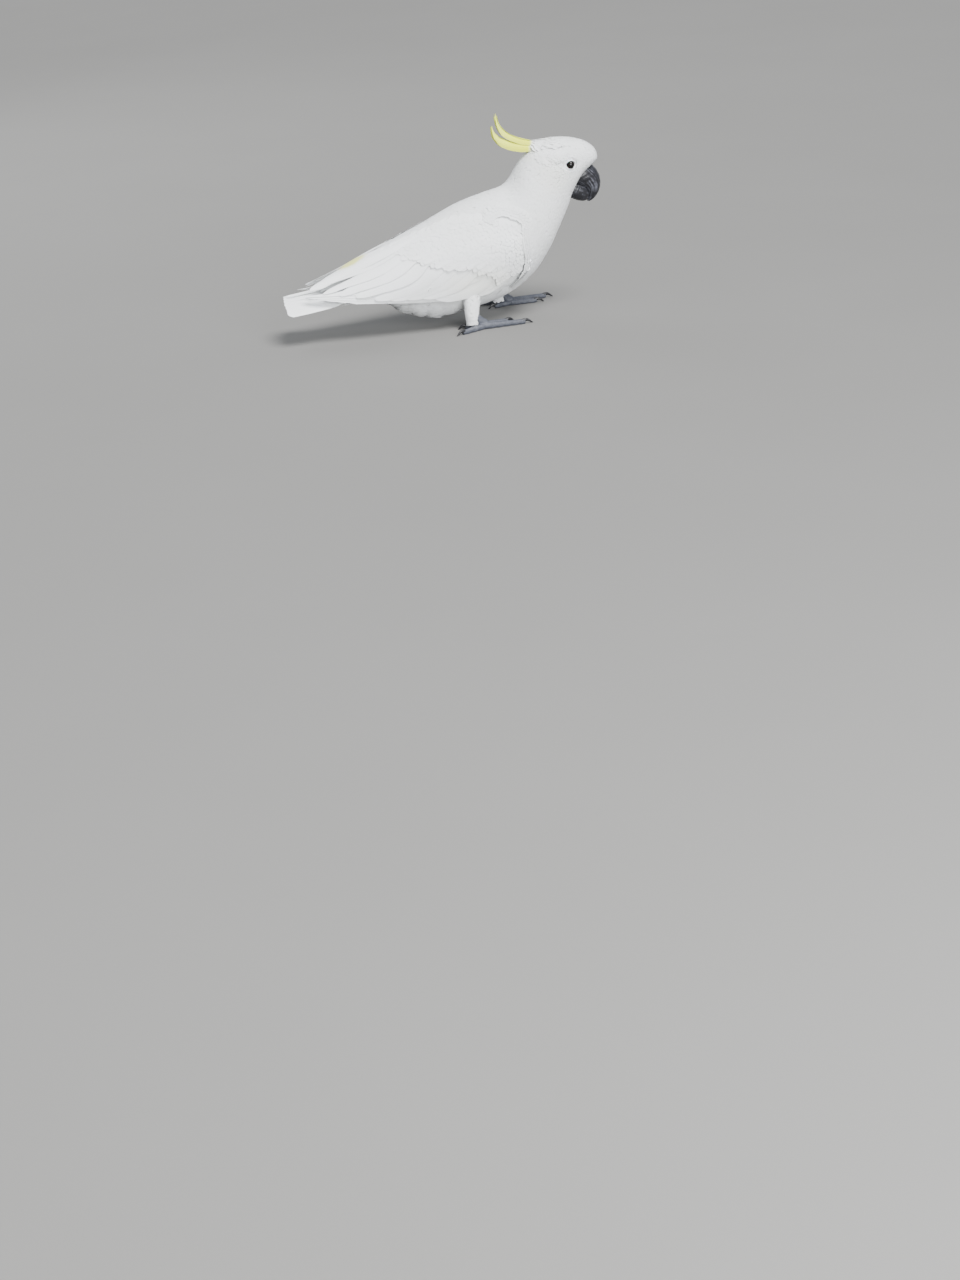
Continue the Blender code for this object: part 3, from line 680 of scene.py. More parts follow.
# %% Leg and toe measures
FOOT_BALLS = {"right": (0.0395, -0.0480), "left": (0.1030, 0.0530)}
FOOT_TURN = {"right": 2.0, "left": -5.0}  # degrees inwards
TOES = (  # name, root (ahead, outwards), length, degrees outwards, radius, claw length
    ("inner_front", 0.0030, -0.0050, 0.0310, -9, 0.0043, 0.012),
    ("outer_front", 0.0030, 0.0048, 0.0480, 2, 0.0046, 0.014),
    ("outer_hind", -0.0040, 0.0052, 0.0320, 157, 0.0043, 0.013),
    ("inner_hind", -0.0040, -0.0046, 0.0200, 188, 0.0040, 0.011),
)
HEEL_BACK, HEEL_HEIGHT, TARSUS_RADIUS = 0.0150, 0.0270, 0.0052
SHANK_RINGS = (  # height, ahead of the heel, outwards as a part of the foot's, radius
    (0.0085, -0.0010, 1.00, 0.0058),
    (0.0115, -0.0010, 1.00, 0.0084),
    (0.0180, -0.0008, 0.98, 0.0094),
    (0.0290, 0.0005, 0.90, 0.0106),
    (0.0430, 0.0030, 0.76, 0.0130),
    (0.0570, 0.0065, 0.62, 0.0165),
    (0.0700, 0.0100, 0.50, 0.0145),
    (0.0770, 0.0120, 0.44, 0.0070),
)
SHANK_INSET = 0.0010
SHANK_FLATNESS = 0.85  # across, as a part of its depth
SHANK_ALONG, SHANK_AROUND = 30, 28
TOE_HEIGHT, TOE_SINKING = 0.80, 0.19  # height of a toe's middle line, in radii, and its fall
TOE_TAPER = 0.24


def shank_flesh(foot):
    """The soft cone under the leg's feathers."""
    rows = curve_through(SHANK_RINGS, SHANK_ALONG)
    heel_x, side_y = FOOT_BALLS[foot][0] - HEEL_BACK, FOOT_BALLS[foot][1]
    angle = np.linspace(0, 2 * math.pi, SHANK_AROUND, endpoint=False)
    x = heel_x + rows[:, 1:2] + (rows[:, 3:4] - SHANK_INSET) * np.cos(angle)
    y = side_y * rows[:, 2:3] + (rows[:, 3:4] - SHANK_INSET) * SHANK_FLATNESS * np.sin(angle)
    z = np.repeat(rows[:, 0:1], len(angle), axis=1)
    return loft("shank_flesh_" + foot, np.stack([x, y, z], axis=-1))


def toe_line(foot, toe, along):
    """Places along a toe's middle, from its root (0) to its last joint (1), and their radii."""
    _, root_ahead, root_out, length, outward, radius, _ = toe
    away = 1 if foot == "left" else -1
    ball_x, ball_y = FOOT_BALLS[foot]
    heading = math.radians(away * (outward - FOOT_TURN[foot]))
    x = ball_x + root_ahead + length * along * math.cos(heading)
    y = ball_y + away * root_out + length * along * math.sin(heading)
    z = radius * (TOE_HEIGHT - TOE_SINKING * along)
    return np.stack([x, y, z], axis=-1), radius * (1.0 - TOE_TAPER * along)


def tube(name, centres, radii, around=20, tall=1.0):
    """A closed tube through these centres; tall is its height as a part of its width."""
    tangent = unit(np.gradient(centres, axis=0))
    level = unit(np.cross(tangent, np.array([0.0, 0.0, 1.0])))
    above = np.cross(level, tangent)
    angle = np.linspace(0, 2 * math.pi, around, endpoint=False)
    across, upwards = np.cos(angle)[None, :, None], (np.sin(angle) * tall)[None, :, None]
    ring = level[:, None] * across + above[:, None] * upwards
    return loft(name, centres[:, None] + ring * radii[:, None, None])


# %% [markdown]
# Toes and tarsus are tubes that a fine remesh melts into one foot. Along the top of each toe lie
# overlapping plates, nearly three millimetres apart, with creases between them; below, pads swell
# under the joints. The plates are raised by moving the surface of the foot outwards, where a wave
# along the toe says so.

# %% Bare feet
FOOT_VOXEL = 0.00062
TOE_END = 0.86  # the radius past a toe's last joint, as a part of the toe's
TARSUS_PATH = (  # distance behind the ball, distance out as a part of the ball's, height
    (-0.002, 1.00, 0.0052),
    (0.002, 1.00, 0.0068),
    (HEEL_BACK * 0.45, 1.00, 0.0110),
    (HEEL_BACK * 0.85, 0.99, 0.0185),
    (HEEL_BACK, 0.97, HEEL_HEIGHT),
)
TARSUS_RADII = ((0, 0.0062), (0.25, 0.0066), (0.6, 0.0056), (1, TARSUS_RADIUS))  # along the path
FLOOR_GAP = 0.00005  # skin and claws end this far above the floor


def foot_tubes(foot):
    """Four toes and the tarsus, as tubes that run into each other."""
    along = np.linspace(-0.10, 1.06, 40)
    tubes = []
    for toe in TOES:
        centres, radii = toe_line(foot, toe, along)
        tubes.append(tube("toe", centres, radii * np.where(along > 1.0, TOE_END, 1.0)))
    ball_x, ball_y = FOOT_BALLS[foot]
    path = [[ball_x - back, ball_y * out, height] for back, out, height in TARSUS_PATH]
    radii = np.interp(np.linspace(0, 1, 24), *zip(*TARSUS_RADII))
    return [*tubes, tube("tarsus", curve_through(path, 24), radii, 26)]


SCUTE_STEP, SCUTE_RISE = 0.0027, 0.00075
PAD_STEP, PAD_RISE = 0.0105, 0.0007
TARSUS_STEP, TARSUS_RISE = 0.0026, 0.0004
TARSUS_START = (0.0085, 0.0120)  # toes end and tarsus starts between these heights


def plates(travel, step):
    """Overlapping plates along a length: each rises quickly and falls away slowly."""
    return np.sin(math.pi * np.sqrt((travel / step) % 1.0)) ** 0.6 - 0.75


def foot_relief(foot, points, normals):
    """How far plates and pads move each place of the foot outwards."""
    best = np.full(len(points), 1e9)
    lift = np.zeros(len(points))
    for toe in TOES:
        start, end = toe_line(foot, toe, np.array([0.0, 1.0]))[0]
        line = end - start
        length = np.linalg.norm(line)
        part = np.clip((points - start) @ line / length**2, 0.0, 1.05)
        near = np.linalg.norm(points - (start + part[:, None] * line), axis=1)
        travel = part * length
        scutes = plates(travel, SCUTE_STEP) * SCUTE_RISE * smooth_step(-0.1, 0.5, normals[:, 2])
        pads = (np.abs(np.sin(math.pi * travel / PAD_STEP)) - 0.55) * PAD_RISE
        pads = pads * smooth_step(0.05, -0.5, normals[:, 2])
        closer = near < best
        lift[closer] = ((scutes + pads) * smooth_step(0.0, 0.12, part))[closer]
        best = np.minimum(best, near)
    on_tarsus = smooth_step(*TARSUS_START, points[:, 2])
    rings = plates(points[:, 2], TARSUS_STEP) * TARSUS_RISE
    return lift * (1 - on_tarsus) + rings * on_tarsus * smooth_step(-0.2, 0.4, normals[:, 0])


def bare_foot(foot):
    pick(*foot_tubes(foot))
    bpy.ops.object.join()
    item = bpy.context.object
    item.name = "foot_flesh_" + foot
    apply_modifier(item, "REMESH", mode="VOXEL", voxel_size=FOOT_VOXEL)
    apply_modifier(item, "SMOOTH", factor=0.5, iterations=4)
    points, normals = read_points(item.data)
    points += normals * foot_relief(foot, points, normals)[:, None]
    points[:, 2] = np.maximum(points[:, 2], FLOOR_GAP)
    write_points(item.data, points)
    item.data.materials.clear()
    item.data.materials.append(foot_finish)
    print(item.name, len(item.data.polygons), "faces")
    return item


feet = {foot: bare_foot(foot) for foot in FOOT_BALLS}
shanks = [shank_flesh(foot) for foot in FOOT_BALLS]


# %% [markdown]
# ## One skin
# Body, wings and shanks are joined and remeshed to an even skin, so no seam is left where a wing
# or a leg grows out of the body. The skin is then drawn in by the depth of the plumage that will
# cover it: half a millimetre on the face and about two on the breast and back.

# %% Skin
SKIN_VOXEL = 0.0020
EYE = np.array([0.1732, 0.0245, 0.1940])  # the left eyeball's centre
EYE_RADIUS = 0.0063
BILL_BASE = np.array([0.2000, 0.0, 0.1830])
# Distance from the bill's base and depth of the coat, then height and the most that it may be.
COAT_DEPTH = ((0.000, 0.0005), (0.016, 0.0007), (0.035, 0.0010), (0.070, 0.0015), (0.120, 0.0020))
LOW_DEPTH = ((0.024, 0.0012), (0.056, 0.0022))

pick(body, *wings, *shanks)
bpy.ops.object.join()
skin = bpy.context.object
skin.name = "plumage_skin"
apply_modifier(skin, "REMESH", mode="VOXEL", voxel_size=SKIN_VOXEL)
apply_modifier(skin, "SMOOTH", factor=0.5, iterations=6)


def bill_reach(points):
    return np.linalg.norm(points - BILL_BASE, axis=1)


def coat_depth(points):
    depth = np.interp(bill_reach(points), *zip(*COAT_DEPTH))
    return np.minimum(depth, np.interp(points[:, 2], *zip(*LOW_DEPTH)))


# Side-view lines (x, z): the groove below the crown's long feathers, and the ear patch's edge.
CROWN_GROOVE = (
    (0.1250, 0.2165), (0.1311, 0.2172), (0.1400, 0.2180), (0.1550, 0.2184), (0.1700, 0.2176),
)
CHEEK_LINE = (
    (0.138, 0.2110), (0.1402, 0.2090), (0.1468, 0.2027), (0.1547, 0.1985), (0.1663, 0.2005),
)
GROOVE_DEPTH, CHEEK_DEPTH = 0.0013, 0.0010


def above_line(points, line):
    return points[:, 2] - np.interp(points[:, 0], *zip(*line))


def crease(points):
    """How far the skin sinks below the crown's edge and behind the edge of the ear patch."""
    x, groove, cheek = points[:, 0], above_line(points, CROWN_GROOVE), above_line(points, CHEEK_LINE)
    along = smooth_step(0.122, 0.132, x) * smooth_step(0.180, 0.162, x)
    profile = smooth_step(0.0004, -0.0008, groove) * smooth_step(-0.0090, -0.0010, groove)
    sunk = GROOVE_DEPTH * along * profile
    along = smooth_step(0.137, 0.144, x) * smooth_step(0.170, 0.160, x)
    profile = smooth_step(0.0006, -0.0010, cheek) * smooth_step(-0.0120, -0.0015, cheek)
    return sunk + CHEEK_DEPTH * along * profile


points, normals = read_points(skin.data)
write_points(skin.data, points - normals * (coat_depth(points) + crease(points))[:, None])
print("skin", len(skin.data.polygons), "faces")


# %% [markdown]
# ## Eye sockets and lids
# The eyeball sits in the side of the head inside a ring of bare skin. The skin near it is divided
# finer, then moved in rings about the eye's axis: behind the ball inside the opening, up over it
# as a thick rolled lid, and out across a finely wrinkled ring to where the feathers begin.

# %% Eye sockets
LID_OPENING = 0.0053
LID_LONG, LID_HIGH = 1.16, 0.92  # the opening is an oval, longer than high
LID_WIDTH, LID_ROLL = 0.0013, 0.00045  # the lid's rim, and how far it swells
LID_STANDS = 0.0008  # how far the opening's edge stands off the ball
RING_SLOPE = 0.0010  # how far the bare ring falls from the lid to the feathers
WRINKLE_STEP, WRINKLE_DEPTH, WRINKLE_REACH = 0.00105, 0.00012, 0.0068
BARE_RING, SOCKET_REACH = 0.0082, 0.0120
FINE_REACH = 0.0135
BALL_SUNK = 0.0011  # the skin lies this deep in the ball inside the opening


def refine_near(mesh, centre, reach, cuts):
    bm = bmesh.new()
    bm.from_mesh(mesh)
    for _ in range(cuts):
        faces = [face for face in bm.faces if (face.calc_center_median() - centre).length < reach]
        edges = list({edge for face in faces for edge in face.edges})
        bmesh.ops.subdivide_edges(bm, edges=edges, cuts=1, use_grid_fill=True)
    bm.normal_update()
    bm.to_mesh(mesh)
    bm.free()


def eye_axis(side):
    """The direction the eye looks: square to the side of the head, turned a little forward."""
    return unit(mirror(np.array([0.10, 1.0, 0.06]), side))


def shape_socket(mesh, side):
    centre, axis = mirror(EYE, side), eye_axis(side)
    refine_near(mesh, Vector(centre), FINE_REACH, 2)
    points, _ = read_points(mesh)
    away = points - centre
    height = away @ axis
    radial = away - height[:, None] * axis
    reach = np.linalg.norm(radial, axis=1)
    level = unit(np.cross(axis, [0, 0, 1.0]))
    oval = np.hypot(radial @ level / LID_LONG, radial @ np.cross(level, axis) / LID_HIGH)
    stretch = reach / np.maximum(oval, 1e-6)
    ball = np.sqrt(np.maximum(EYE_RADIUS**2 - np.minimum(reach, EYE_RADIUS) ** 2, 0))
    outside = height > -0.004
    rim_height = np.sqrt(np.maximum(EYE_RADIUS**2 - (LID_OPENING * stretch) ** 2, 0)) + LID_STANDS
    angle = np.arctan2(radial @ np.cross(axis, [0, 0, 1.0]), radial[:, 2])
    sway = 0.9 * np.sin(angle * 5) + 0.6 * np.sin(angle * 11)
    wrinkle = WRINKLE_DEPTH * np.sin(reach / WRINKLE_STEP * 2 * math.pi + sway)
    lid_end = LID_OPENING + LID_WIDTH
    roll = np.sin(math.pi * np.clip((oval - LID_OPENING) / LID_WIDTH, 0, 1)) * LID_ROLL
    ring = rim_height - RING_SLOPE * smooth_step(lid_end, BARE_RING, oval)
    ring = ring + roll + wrinkle * smooth_step(lid_end, WRINKLE_REACH, oval)
    inside = np.minimum(ball - BALL_SUNK, rim_height)
    target = inside + (ring - inside) * smooth_step(LID_OPENING - 0.0004, LID_OPENING, oval)
    share = smooth_step(SOCKET_REACH, BARE_RING, reach) * outside
    write_points(mesh, points + axis * ((target - height) * share)[:, None])


for side in ("left", "right"):
    shape_socket(skin.data, side)
skin.data.materials.clear()
skin.data.materials.append(skin_finish)
pick(skin, *feet.values())
bpy.ops.object.join()
skin = bpy.context.object
pick(skin)
bpy.ops.object.mode_set(mode="EDIT")
bpy.ops.mesh.select_all(action="SELECT")
bpy.ops.mesh.normals_make_consistent(inside=False)
bpy.ops.uv.smart_project(angle_limit=math.radians(66), island_margin=0.001)
bpy.ops.object.mode_set(mode="OBJECT")
bpy.ops.object.shade_smooth()
skin.data.uv_layers[0].name = "OFBake"
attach(skin, "root")
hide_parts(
    *("head", "neck", "breast", "trunk", "rump", "wing_left", "wing_right"),
    *("shank_left", "shank_right", "tarsus_left", "tarsus_right"),
    *(f"toe_{toe[0]}_{foot}" for toe in TOES for foot in FOOT_BALLS),
)
print("joined skin", len(skin.data.polygons), "faces")


# %% [markdown]
# ## Eyes
# Each eyeball is a smooth ball with the clear cornea standing out a little in front.

# %% Eyeballs
CORNEA_RISE = 0.045  # as a part of the radius
CORNEA_EDGE = (0.72, 0.95)  # cosines of the angles from the eye's axis over which it rises


def make_eye(side):
    centre, axis = mirror(EYE, side), eye_axis(side)
    bpy.ops.object.select_all(action="DESELECT")
    bpy.ops.mesh.primitive_uv_sphere_add(segments=48, ring_count=32, radius=EYE_RADIUS)
    item = bpy.context.object
    item.name = "eyeball_" + side
    points, _ = read_points(item.data)
    turn = Vector((0, 0, 1)).rotation_difference(Vector(axis)).to_matrix()
    points = points @ np.array(turn).T
    forward = unit(points) @ axis
    points = points * (1 + CORNEA_RISE * smooth_step(*CORNEA_EDGE, forward))[:, None] + centre
    write_points(item.data, points)
    item.data.materials.append(eye_finish)
    bpy.ops.object.shade_smooth()
    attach(item, "root")
    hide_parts("eye_" + side)


for side in ("left", "right"):
    make_eye(side)


# %% [markdown]
# ## Bill
# A cockatoo's upper bill is a deep hook that grows forward and down. Its rings follow that growth,
# so powder and flaking laid along them look right. Shallow grooves run along the bill, and fine
# growth steps run round it.

# %% Bill
UPPER_BILL = (  # front (x, z), rear (x, z), half width, fullness
    (0.2020, 0.1915, 0.1770, 0.1700, 0.0100, 2.1),
    (0.2050, 0.1895, 0.1800, 0.1690, 0.0106, 2.1),
    (0.2115, 0.1835, 0.1830, 0.1650, 0.0120, 2.1),
    (0.2172, 0.1755, 0.1890, 0.1612, 0.0118, 2.1),
    (0.2202, 0.1665, 0.1950, 0.1582, 0.0106, 2.1),
    (0.2202, 0.1580, 0.1992, 0.1550, 0.0088, 2.1),
    (0.2178, 0.1500, 0.2020, 0.1505, 0.0066, 2.1),
    (0.2138, 0.1440, 0.2035, 0.1457, 0.0044, 2.1),
    (0.2088, 0.1397, 0.2030, 0.1417, 0.0024, 2.1),
    (0.2045, 0.1380, 0.2020, 0.1390, 0.0009, 2.1),
)
LOWER_BILL = (
    (0.1835, 0.1680, 0.1730, 0.1520, 0.0096, 2.3),
    (0.1900, 0.1655, 0.1788, 0.1462, 0.0108, 2.3),
    (0.1965, 0.1625, 0.1870, 0.1418, 0.0102, 2.3),
    (0.2010, 0.1590, 0.1955, 0.1396, 0.0086, 2.3),
    (0.2040, 0.1530, 0.2010, 0.1402, 0.0060, 2.3),
)


CULMEN_RISE, CULMEN_WIDTH = 0.05, 0.28  # the ridge on top, as a part of the radius and in radians
GROWTH_STEPS, STEP_RISE = 11, 0.010
GROOVES, GROOVE_RISE = 13, 0.007


def add_growth_map(item, along, around, turned):
    """A map that folds round the horn (u) and runs along it (v); turned is 0 or 1 half turns."""
    growth = item.data.uv_layers.new(name="Growth")
    corner = read_values(item.data.loops, "vertex_index", 1, np.int32)[:, 0]
    folded = np.abs(((corner % around) / around * 2 + turned) % 2 - 1)
    values = np.stack([folded, corner // around / along], axis=-1)
    growth.data.foreach_set("uv", values.astype(np.float32).ravel())


def grooved_bill(name, sections, along, around, ridge, finish):
    rings = oval_rings(curve_through(sections, along), around)
    centre = rings.mean(axis=1, keepdims=True)
    angle = np.linspace(0, 2 * math.pi, around, endpoint=False)[None, :]
    place = np.linspace(0, 1, along)[:, None]
    culmen = np.exp(-((np.minimum(angle, 2 * math.pi - angle) / CULMEN_WIDTH) ** 2)) * ridge
    sway = 0.8 * np.sin(angle * 2) + np.sin(place * 9)
    steps = STEP_RISE * np.sin(place * 2 * math.pi * GROWTH_STEPS + sway)
    grooves = GROOVE_RISE * np.sin(angle * GROOVES + 2.0 * np.sin(place * 3))
    fade = smooth_step(0.0, 0.15, place) * smooth_step(1.0, 0.85, place)
    scale = 1 + (culmen + steps + grooves) * fade
    item = loft(name, centre + (rings - centre) * scale[..., None])
    add_growth_map(item, along, around, 1)
    item.data.materials.append(finish)
    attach(item, "root")
    return item


upper_bill = grooved_bill("upper_mandible", UPPER_BILL, 110, 72, CULMEN_RISE, bill_finish)
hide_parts("upper_bill")
lower_bill = grooved_bill("lower_mandible", LOWER_BILL, 50, 56, 0.0, lower_finish)
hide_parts("lower_bill")


# %% [markdown]
# ## Claws
# Each claw leaves the end of its toe, arches over and comes down to a blunt tip on the ground. Its
# section is a little taller than it is wide.

# %% Claws
CLAW_RADIUS, CLAW_POINT = 0.0024 * 0.92, 0.00035
CLAW_OVERLAP, CLAW_LIFT = 0.0014, 0.0008  # how far a claw starts inside its toe, and above it
CLAW_ARCH, CLAW_EXTRA = 0.0024, 0.0008
CLAW_TALL = 1.12  # its height as a part of its width
CLAW_ALONG, CLAW_AROUND = 22, 18


def make_claw(foot, toe):
    start, root = toe_line(foot, toe, np.array([0.7, 1.0]))[0]
    heading = unit((root - start) * [1, 1, 0])
    root = root - heading * CLAW_OVERLAP + [0, 0, CLAW_LIFT]
    t = np.linspace(0, 1, CLAW_ALONG)
    rise = CLAW_ARCH * np.sin(math.pi * np.minimum(t * 1.15, 1))
    height = root[2] * (1 - t) ** 0.8 + rise + 0.0004 * t
    flat = root[None, :2] + heading[None, :2] * (toe[6] + CLAW_EXTRA) * t[:, None]
    centres = np.concatenate([flat, height[:, None]], axis=1)
    radii = CLAW_RADIUS * (1 - t) ** 0.75 + CLAW_POINT
    item = tube(f"curved_claw_{toe[0]}_{foot}", centres, radii, CLAW_AROUND, CLAW_TALL)
    points, _ = read_points(item.data)
    points[:, 2] = np.maximum(points[:, 2], FLOOR_GAP)
    write_points(item.data, points)
    add_growth_map(item, CLAW_ALONG, CLAW_AROUND, 0)
    item.data.materials.append(claw_finish)
    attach(item, "root")
    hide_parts(f"claw_{toe[0]}_{foot}")


for foot in FOOT_BALLS:
    for toe in TOES:
        make_claw(foot, toe)


# %% [markdown]
# ## How a feather is built
# Every feather is a thin closed blade. Its upper face is a grid of rows along the shaft and
# columns across the vane; the lower face shares the rim and is pushed down by the blade's
# thickness. Root rows are narrow, the tip is rounded, and its columns end unevenly, as loose
# barbs do. Many blades of one grid are computed at once as arrays.

# %% Feather blades
def grid_quads(grid):
    """The faces between the points of a grid of indices."""
    corners_of = [grid[:-1, :-1], grid[:-1, 1:], grid[1:, 1:], grid[1:, :-1]]
    return np.stack(corners_of, axis=-1).reshape(-1, 4)


def blade_template(rows, columns):
    """Corner indices of one closed blade; interior columns and rows are doubled below."""
    upper = np.arange(rows * columns).reshape(rows, columns)
    lower = upper.copy()
    inner = (rows - 2) * (columns - 2)
    lower[1:-1, 1:-1] = rows * columns + np.arange(inner).reshape(rows - 2, columns - 2)
    return np.concatenate([grid_quads(upper), grid_quads(lower)[:, ::-1]])


def blades(centres, normals, widths, thickness, camber, ragged, tip, columns, tilt=0.0, frayed=0.0):
    """Blades over centres and normals (N, rows, 3) with half widths (N, rows).

    camber: how far the edges hang, as a part of the half width. ragged: how uneven the tip is, as
    a part of the length. tip: how round it is. tilt: how much higher than the shaft an edge lies.
    frayed: how uneven the edges are, as a part of the half width.
    """
    count, rows = centres.shape[:2]
    tangent = unit(np.gradient(centres, axis=1))
    side = unit(np.cross(tangent, normals))
    above = np.cross(side, tangent)
    across = np.linspace(-1, 1, columns)[:, None]
    along = np.linspace(0, 1, rows)[:, None, None]
    half = widths[:, :, None, None]
    length = np.linalg.norm(np.diff(centres, axis=1), axis=2).sum(axis=1)[:, None, None, None]
    at_edge = np.abs(across) == 1
    fray = 1 + rng.uniform(-frayed, frayed, (count, rows, columns, 1)) * at_edge
    arch = half * (camber * across**2)
    lean = np.reshape(tilt, (-1, 1, 1, 1)) * across
    half_tip = np.minimum(half.max(axis=1, keepdims=True) / length, 0.45)
    back = -tip * 2 * half_tip * np.abs(across) ** 2.2 * along**3
    loose = rng.uniform(-1, 0.25, (count, 1, columns, 1)) * ragged * along**4
    points = centres[:, :, None] + side[:, :, None] * (half * across * fray)
    points = points + above[:, :, None] * (lean - arch)
    points = points + tangent[:, :, None] * ((back + loose) * length)
    below = points[:, 1:-1, 1:-1] - above[:, 1:-1, None] * np.reshape(thickness, (-1, 1, 1, 1))
    flat = np.concatenate([points.reshape(count, -1, 3), below.reshape(count, -1, 3)], axis=1)
    u, v = np.meshgrid((across.ravel() + 1) / 2, along.ravel())
    vane = np.stack([u, v], axis=-1)
    vane = np.concatenate([vane.reshape(-1, 2), vane[1:-1, 1:-1].reshape(-1, 2)])
    return flat, blade_template(rows, columns), vane, length.ravel()


def feather_widths(half_width, rows, root, end, widest=0.62):
    """Half widths from a narrow root through the widest place to the tip: (N, rows)."""
    along = np.linspace(0, 1, rows)
    profile = root + (1 - root) * smooth_step(0, widest, along)
    profile = profile * (1 - (1 - end) * smooth_step(widest + 0.05, 1.0, along))
    return np.reshape(half_width, (-1, 1)) * profile


ROOT_PATCH = 0.003  # size of a feather's patch on the skin's unwrap
VANE_UNIT = 0.1  # metres of shaft to one unit of the Vane map


def feather_piece(name, batches, material):
    """Joins batches of (blades, root places on the skin's unwrap) into one object."""
    points, loops, vane, root = [], [], [], []
    start = 0
    for (flat, template, local, lengths), places in batches:
        count, size = flat.shape[:2]
        points.append(flat.reshape(-1, 3))
        corner = template.ravel()
        loops.append((corner[None] + start + np.arange(count)[:, None] * size).ravel())
        scaled = np.tile(local[corner], (count, 1, 1))
        scaled[..., 1] *= lengths[:, None] / VANE_UNIT
        vane.append(scaled.reshape(-1, 2))
        root.append((places[:, None] + (local[corner] - 0.5)[None] * ROOT_PATCH).reshape(-1, 2))
        start += count * size
    loops = np.concatenate(loops)
    item = object_from_arrays(name, np.concatenate(points), loops, np.full(len(loops) // 4, 4))
    for map_name, values in (("OFBake", np.concatenate(root)), ("Vane", np.concatenate(vane))):
        layer = item.data.uv_layers.new(name=map_name)
        layer.data.foreach_set("uv", values.astype(np.float32).ravel())
    item.data.set_sharp_from_angle(angle=math.radians(75))
    item.data.materials.append(material)
    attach(item, "root")
    print(name, sum(len(places) for _, places in batches), "feathers,", len(loops) // 2, "triangles")
    return item


# %% [markdown]
# ## Reading the skin
# To plant feathers evenly, the lesson needs places spread over the skin, the way the plumage lies
# there, and the place of each root on the skin's own unwrap. The lie follows the body's sections
# from one to the next towards the tail, and straight down on the shanks.

# %% Skin readers
skin.data.calc_loop_triangles()
triangles = skin.data.loop_triangles
white = read_values(triangles, "material_index", 1, np.int32)[:, 0] == 0
white_points = read_values(triangles, "vertices", 3, np.int32)[white]
white_loops = read_values(triangles, "loops", 3, np.int32)[white]
skin_map = read_values(skin.data.uv_layers["OFBake"].data, "uv", 2).astype(float)
skin_points, _ = read_points(skin.data)
skin_tree = BVHTree.FromPolygons(skin_points.tolist(), white_points.tolist())
corners = skin_points[white_points]
face_normals = np.cross(corners[:, 1] - corners[:, 0], corners[:, 2] - corners[:, 0])
face_areas = np.linalg.norm(face_normals, axis=1) / 2
face_normals = unit(face_normals)
print("plumage skin area", round(face_areas.sum() * 1e4, 1), "square centimetres")


def kd_tree(points):
    tree = KDTree(len(points))
    for index, point in enumerate(points):
        tree.insert(point, index)
    tree.balance()
    return tree


skin_kd = kd_tree(corners.mean(axis=1))
body_tree = kd_tree(body_rings.reshape(-1, 3))
ring_before = np.concatenate([body_rings[:1], body_rings[:-1]])
ring_after = np.concatenate([body_rings[1:], body_rings[-1:]])
body_flow = unit(ring_before - ring_after).reshape(-1, 3)
# The fleshy part of the wing's face, without the tip and the lower edge, which are only feathers.
flesh_rows, flesh_columns = int(WING_ALONG * 0.68), int(WING_ACROSS * 0.86)
flesh_face = wing_face[2:flesh_rows, :flesh_columns]
left_wing_tree = kd_tree(flesh_face.reshape(-1, 3))
flesh_out = np.broadcast_to(wing_out[2:flesh_rows], flesh_face.shape).reshape(-1, 3)

# Feathers are laid on the wing's face led on past its wrist, its tip and both its edges.
past_tip = wing_rows[-1:] + (wing_rows[-1:] - wing_rows[-4:-3]) * 0.5
past_tip[0, 6:] = wing_rows[-1, 6:]
past_wrist = wing_rows[:1].copy()
past_wrist[0, [0, 1, 3, 4]] += [0.0060, -0.0070, 0.0060, -0.0070]
wide_rows = np.concatenate([past_wrist, wing_rows, past_tip])
wide_s = (np.arange(len(wide_rows)) - 1) / (WING_ALONG - 1)
wide_t = np.linspace(-0.10, 1.10, 40)
wide_face = settle(wing_grid(wide_rows, wide_t)[0], wide_s, wide_t)
wide_index = np.arange(wide_face.shape[0] * wide_face.shape[1]).reshape(wide_face.shape[:2])
wing_tree = BVHTree.FromPolygons(wide_face.reshape(-1, 3).tolist(), grid_quads(wide_index).tolist())


def place_on_unwrap(points):
    """Where on the skin's unwrap a feather's root belongs."""
    nearest = np.array([skin_kd.find(point)[1] for point in points.tolist()])
    return skin_map[white_loops[nearest]].mean(axis=1)


def scatter(spacing, candidates, keep):
    """Random places on the skin, no two nearer than spacing says; keep(points) picks regions."""
    share = np.cumsum(face_areas)
    chosen = np.searchsorted(share, rng.random(candidates) * share[-1])
    first, second = rng.random(candidates), rng.random(candidates)
    over = first + second > 1
    first[over], second[over] = 1 - first[over], 1 - second[over]
    weights = np.stack([1 - first - second, first, second], axis=1)[..., None]
    points = (corners[chosen] * weights).sum(axis=1)
    places = (skin_map[white_loops[chosen]] * weights).sum(axis=1)
    inside = keep(points)
    points, places, normals = points[inside], places[inside], face_normals[chosen][inside]
    gaps = spacing(points)
    keys = np.floor(points / gaps.max()).astype(int).tolist()
    around = [(a, b, c) for a in (-1, 0, 1) for b in (-1, 0, 1) for c in (-1, 0, 1)]
    grid, kept = {}, []
    for (i, j, k), (x, y, z), limit in zip(keys, points.tolist(), (gaps**2).tolist()):
        cells = (grid.get((i + a, j + b, k + c), ()) for a, b, c in around)
        near = (place for cell in cells for place in cell)
        clear = all((a - x) ** 2 + (b - y) ** 2 + (c - z) ** 2 >= limit for a, b, c in near)
        kept.append(clear)
        if clear:
            grid.setdefault((i, j, k), []).append((x, y, z))
    return points[kept], normals[kept], places[kept]


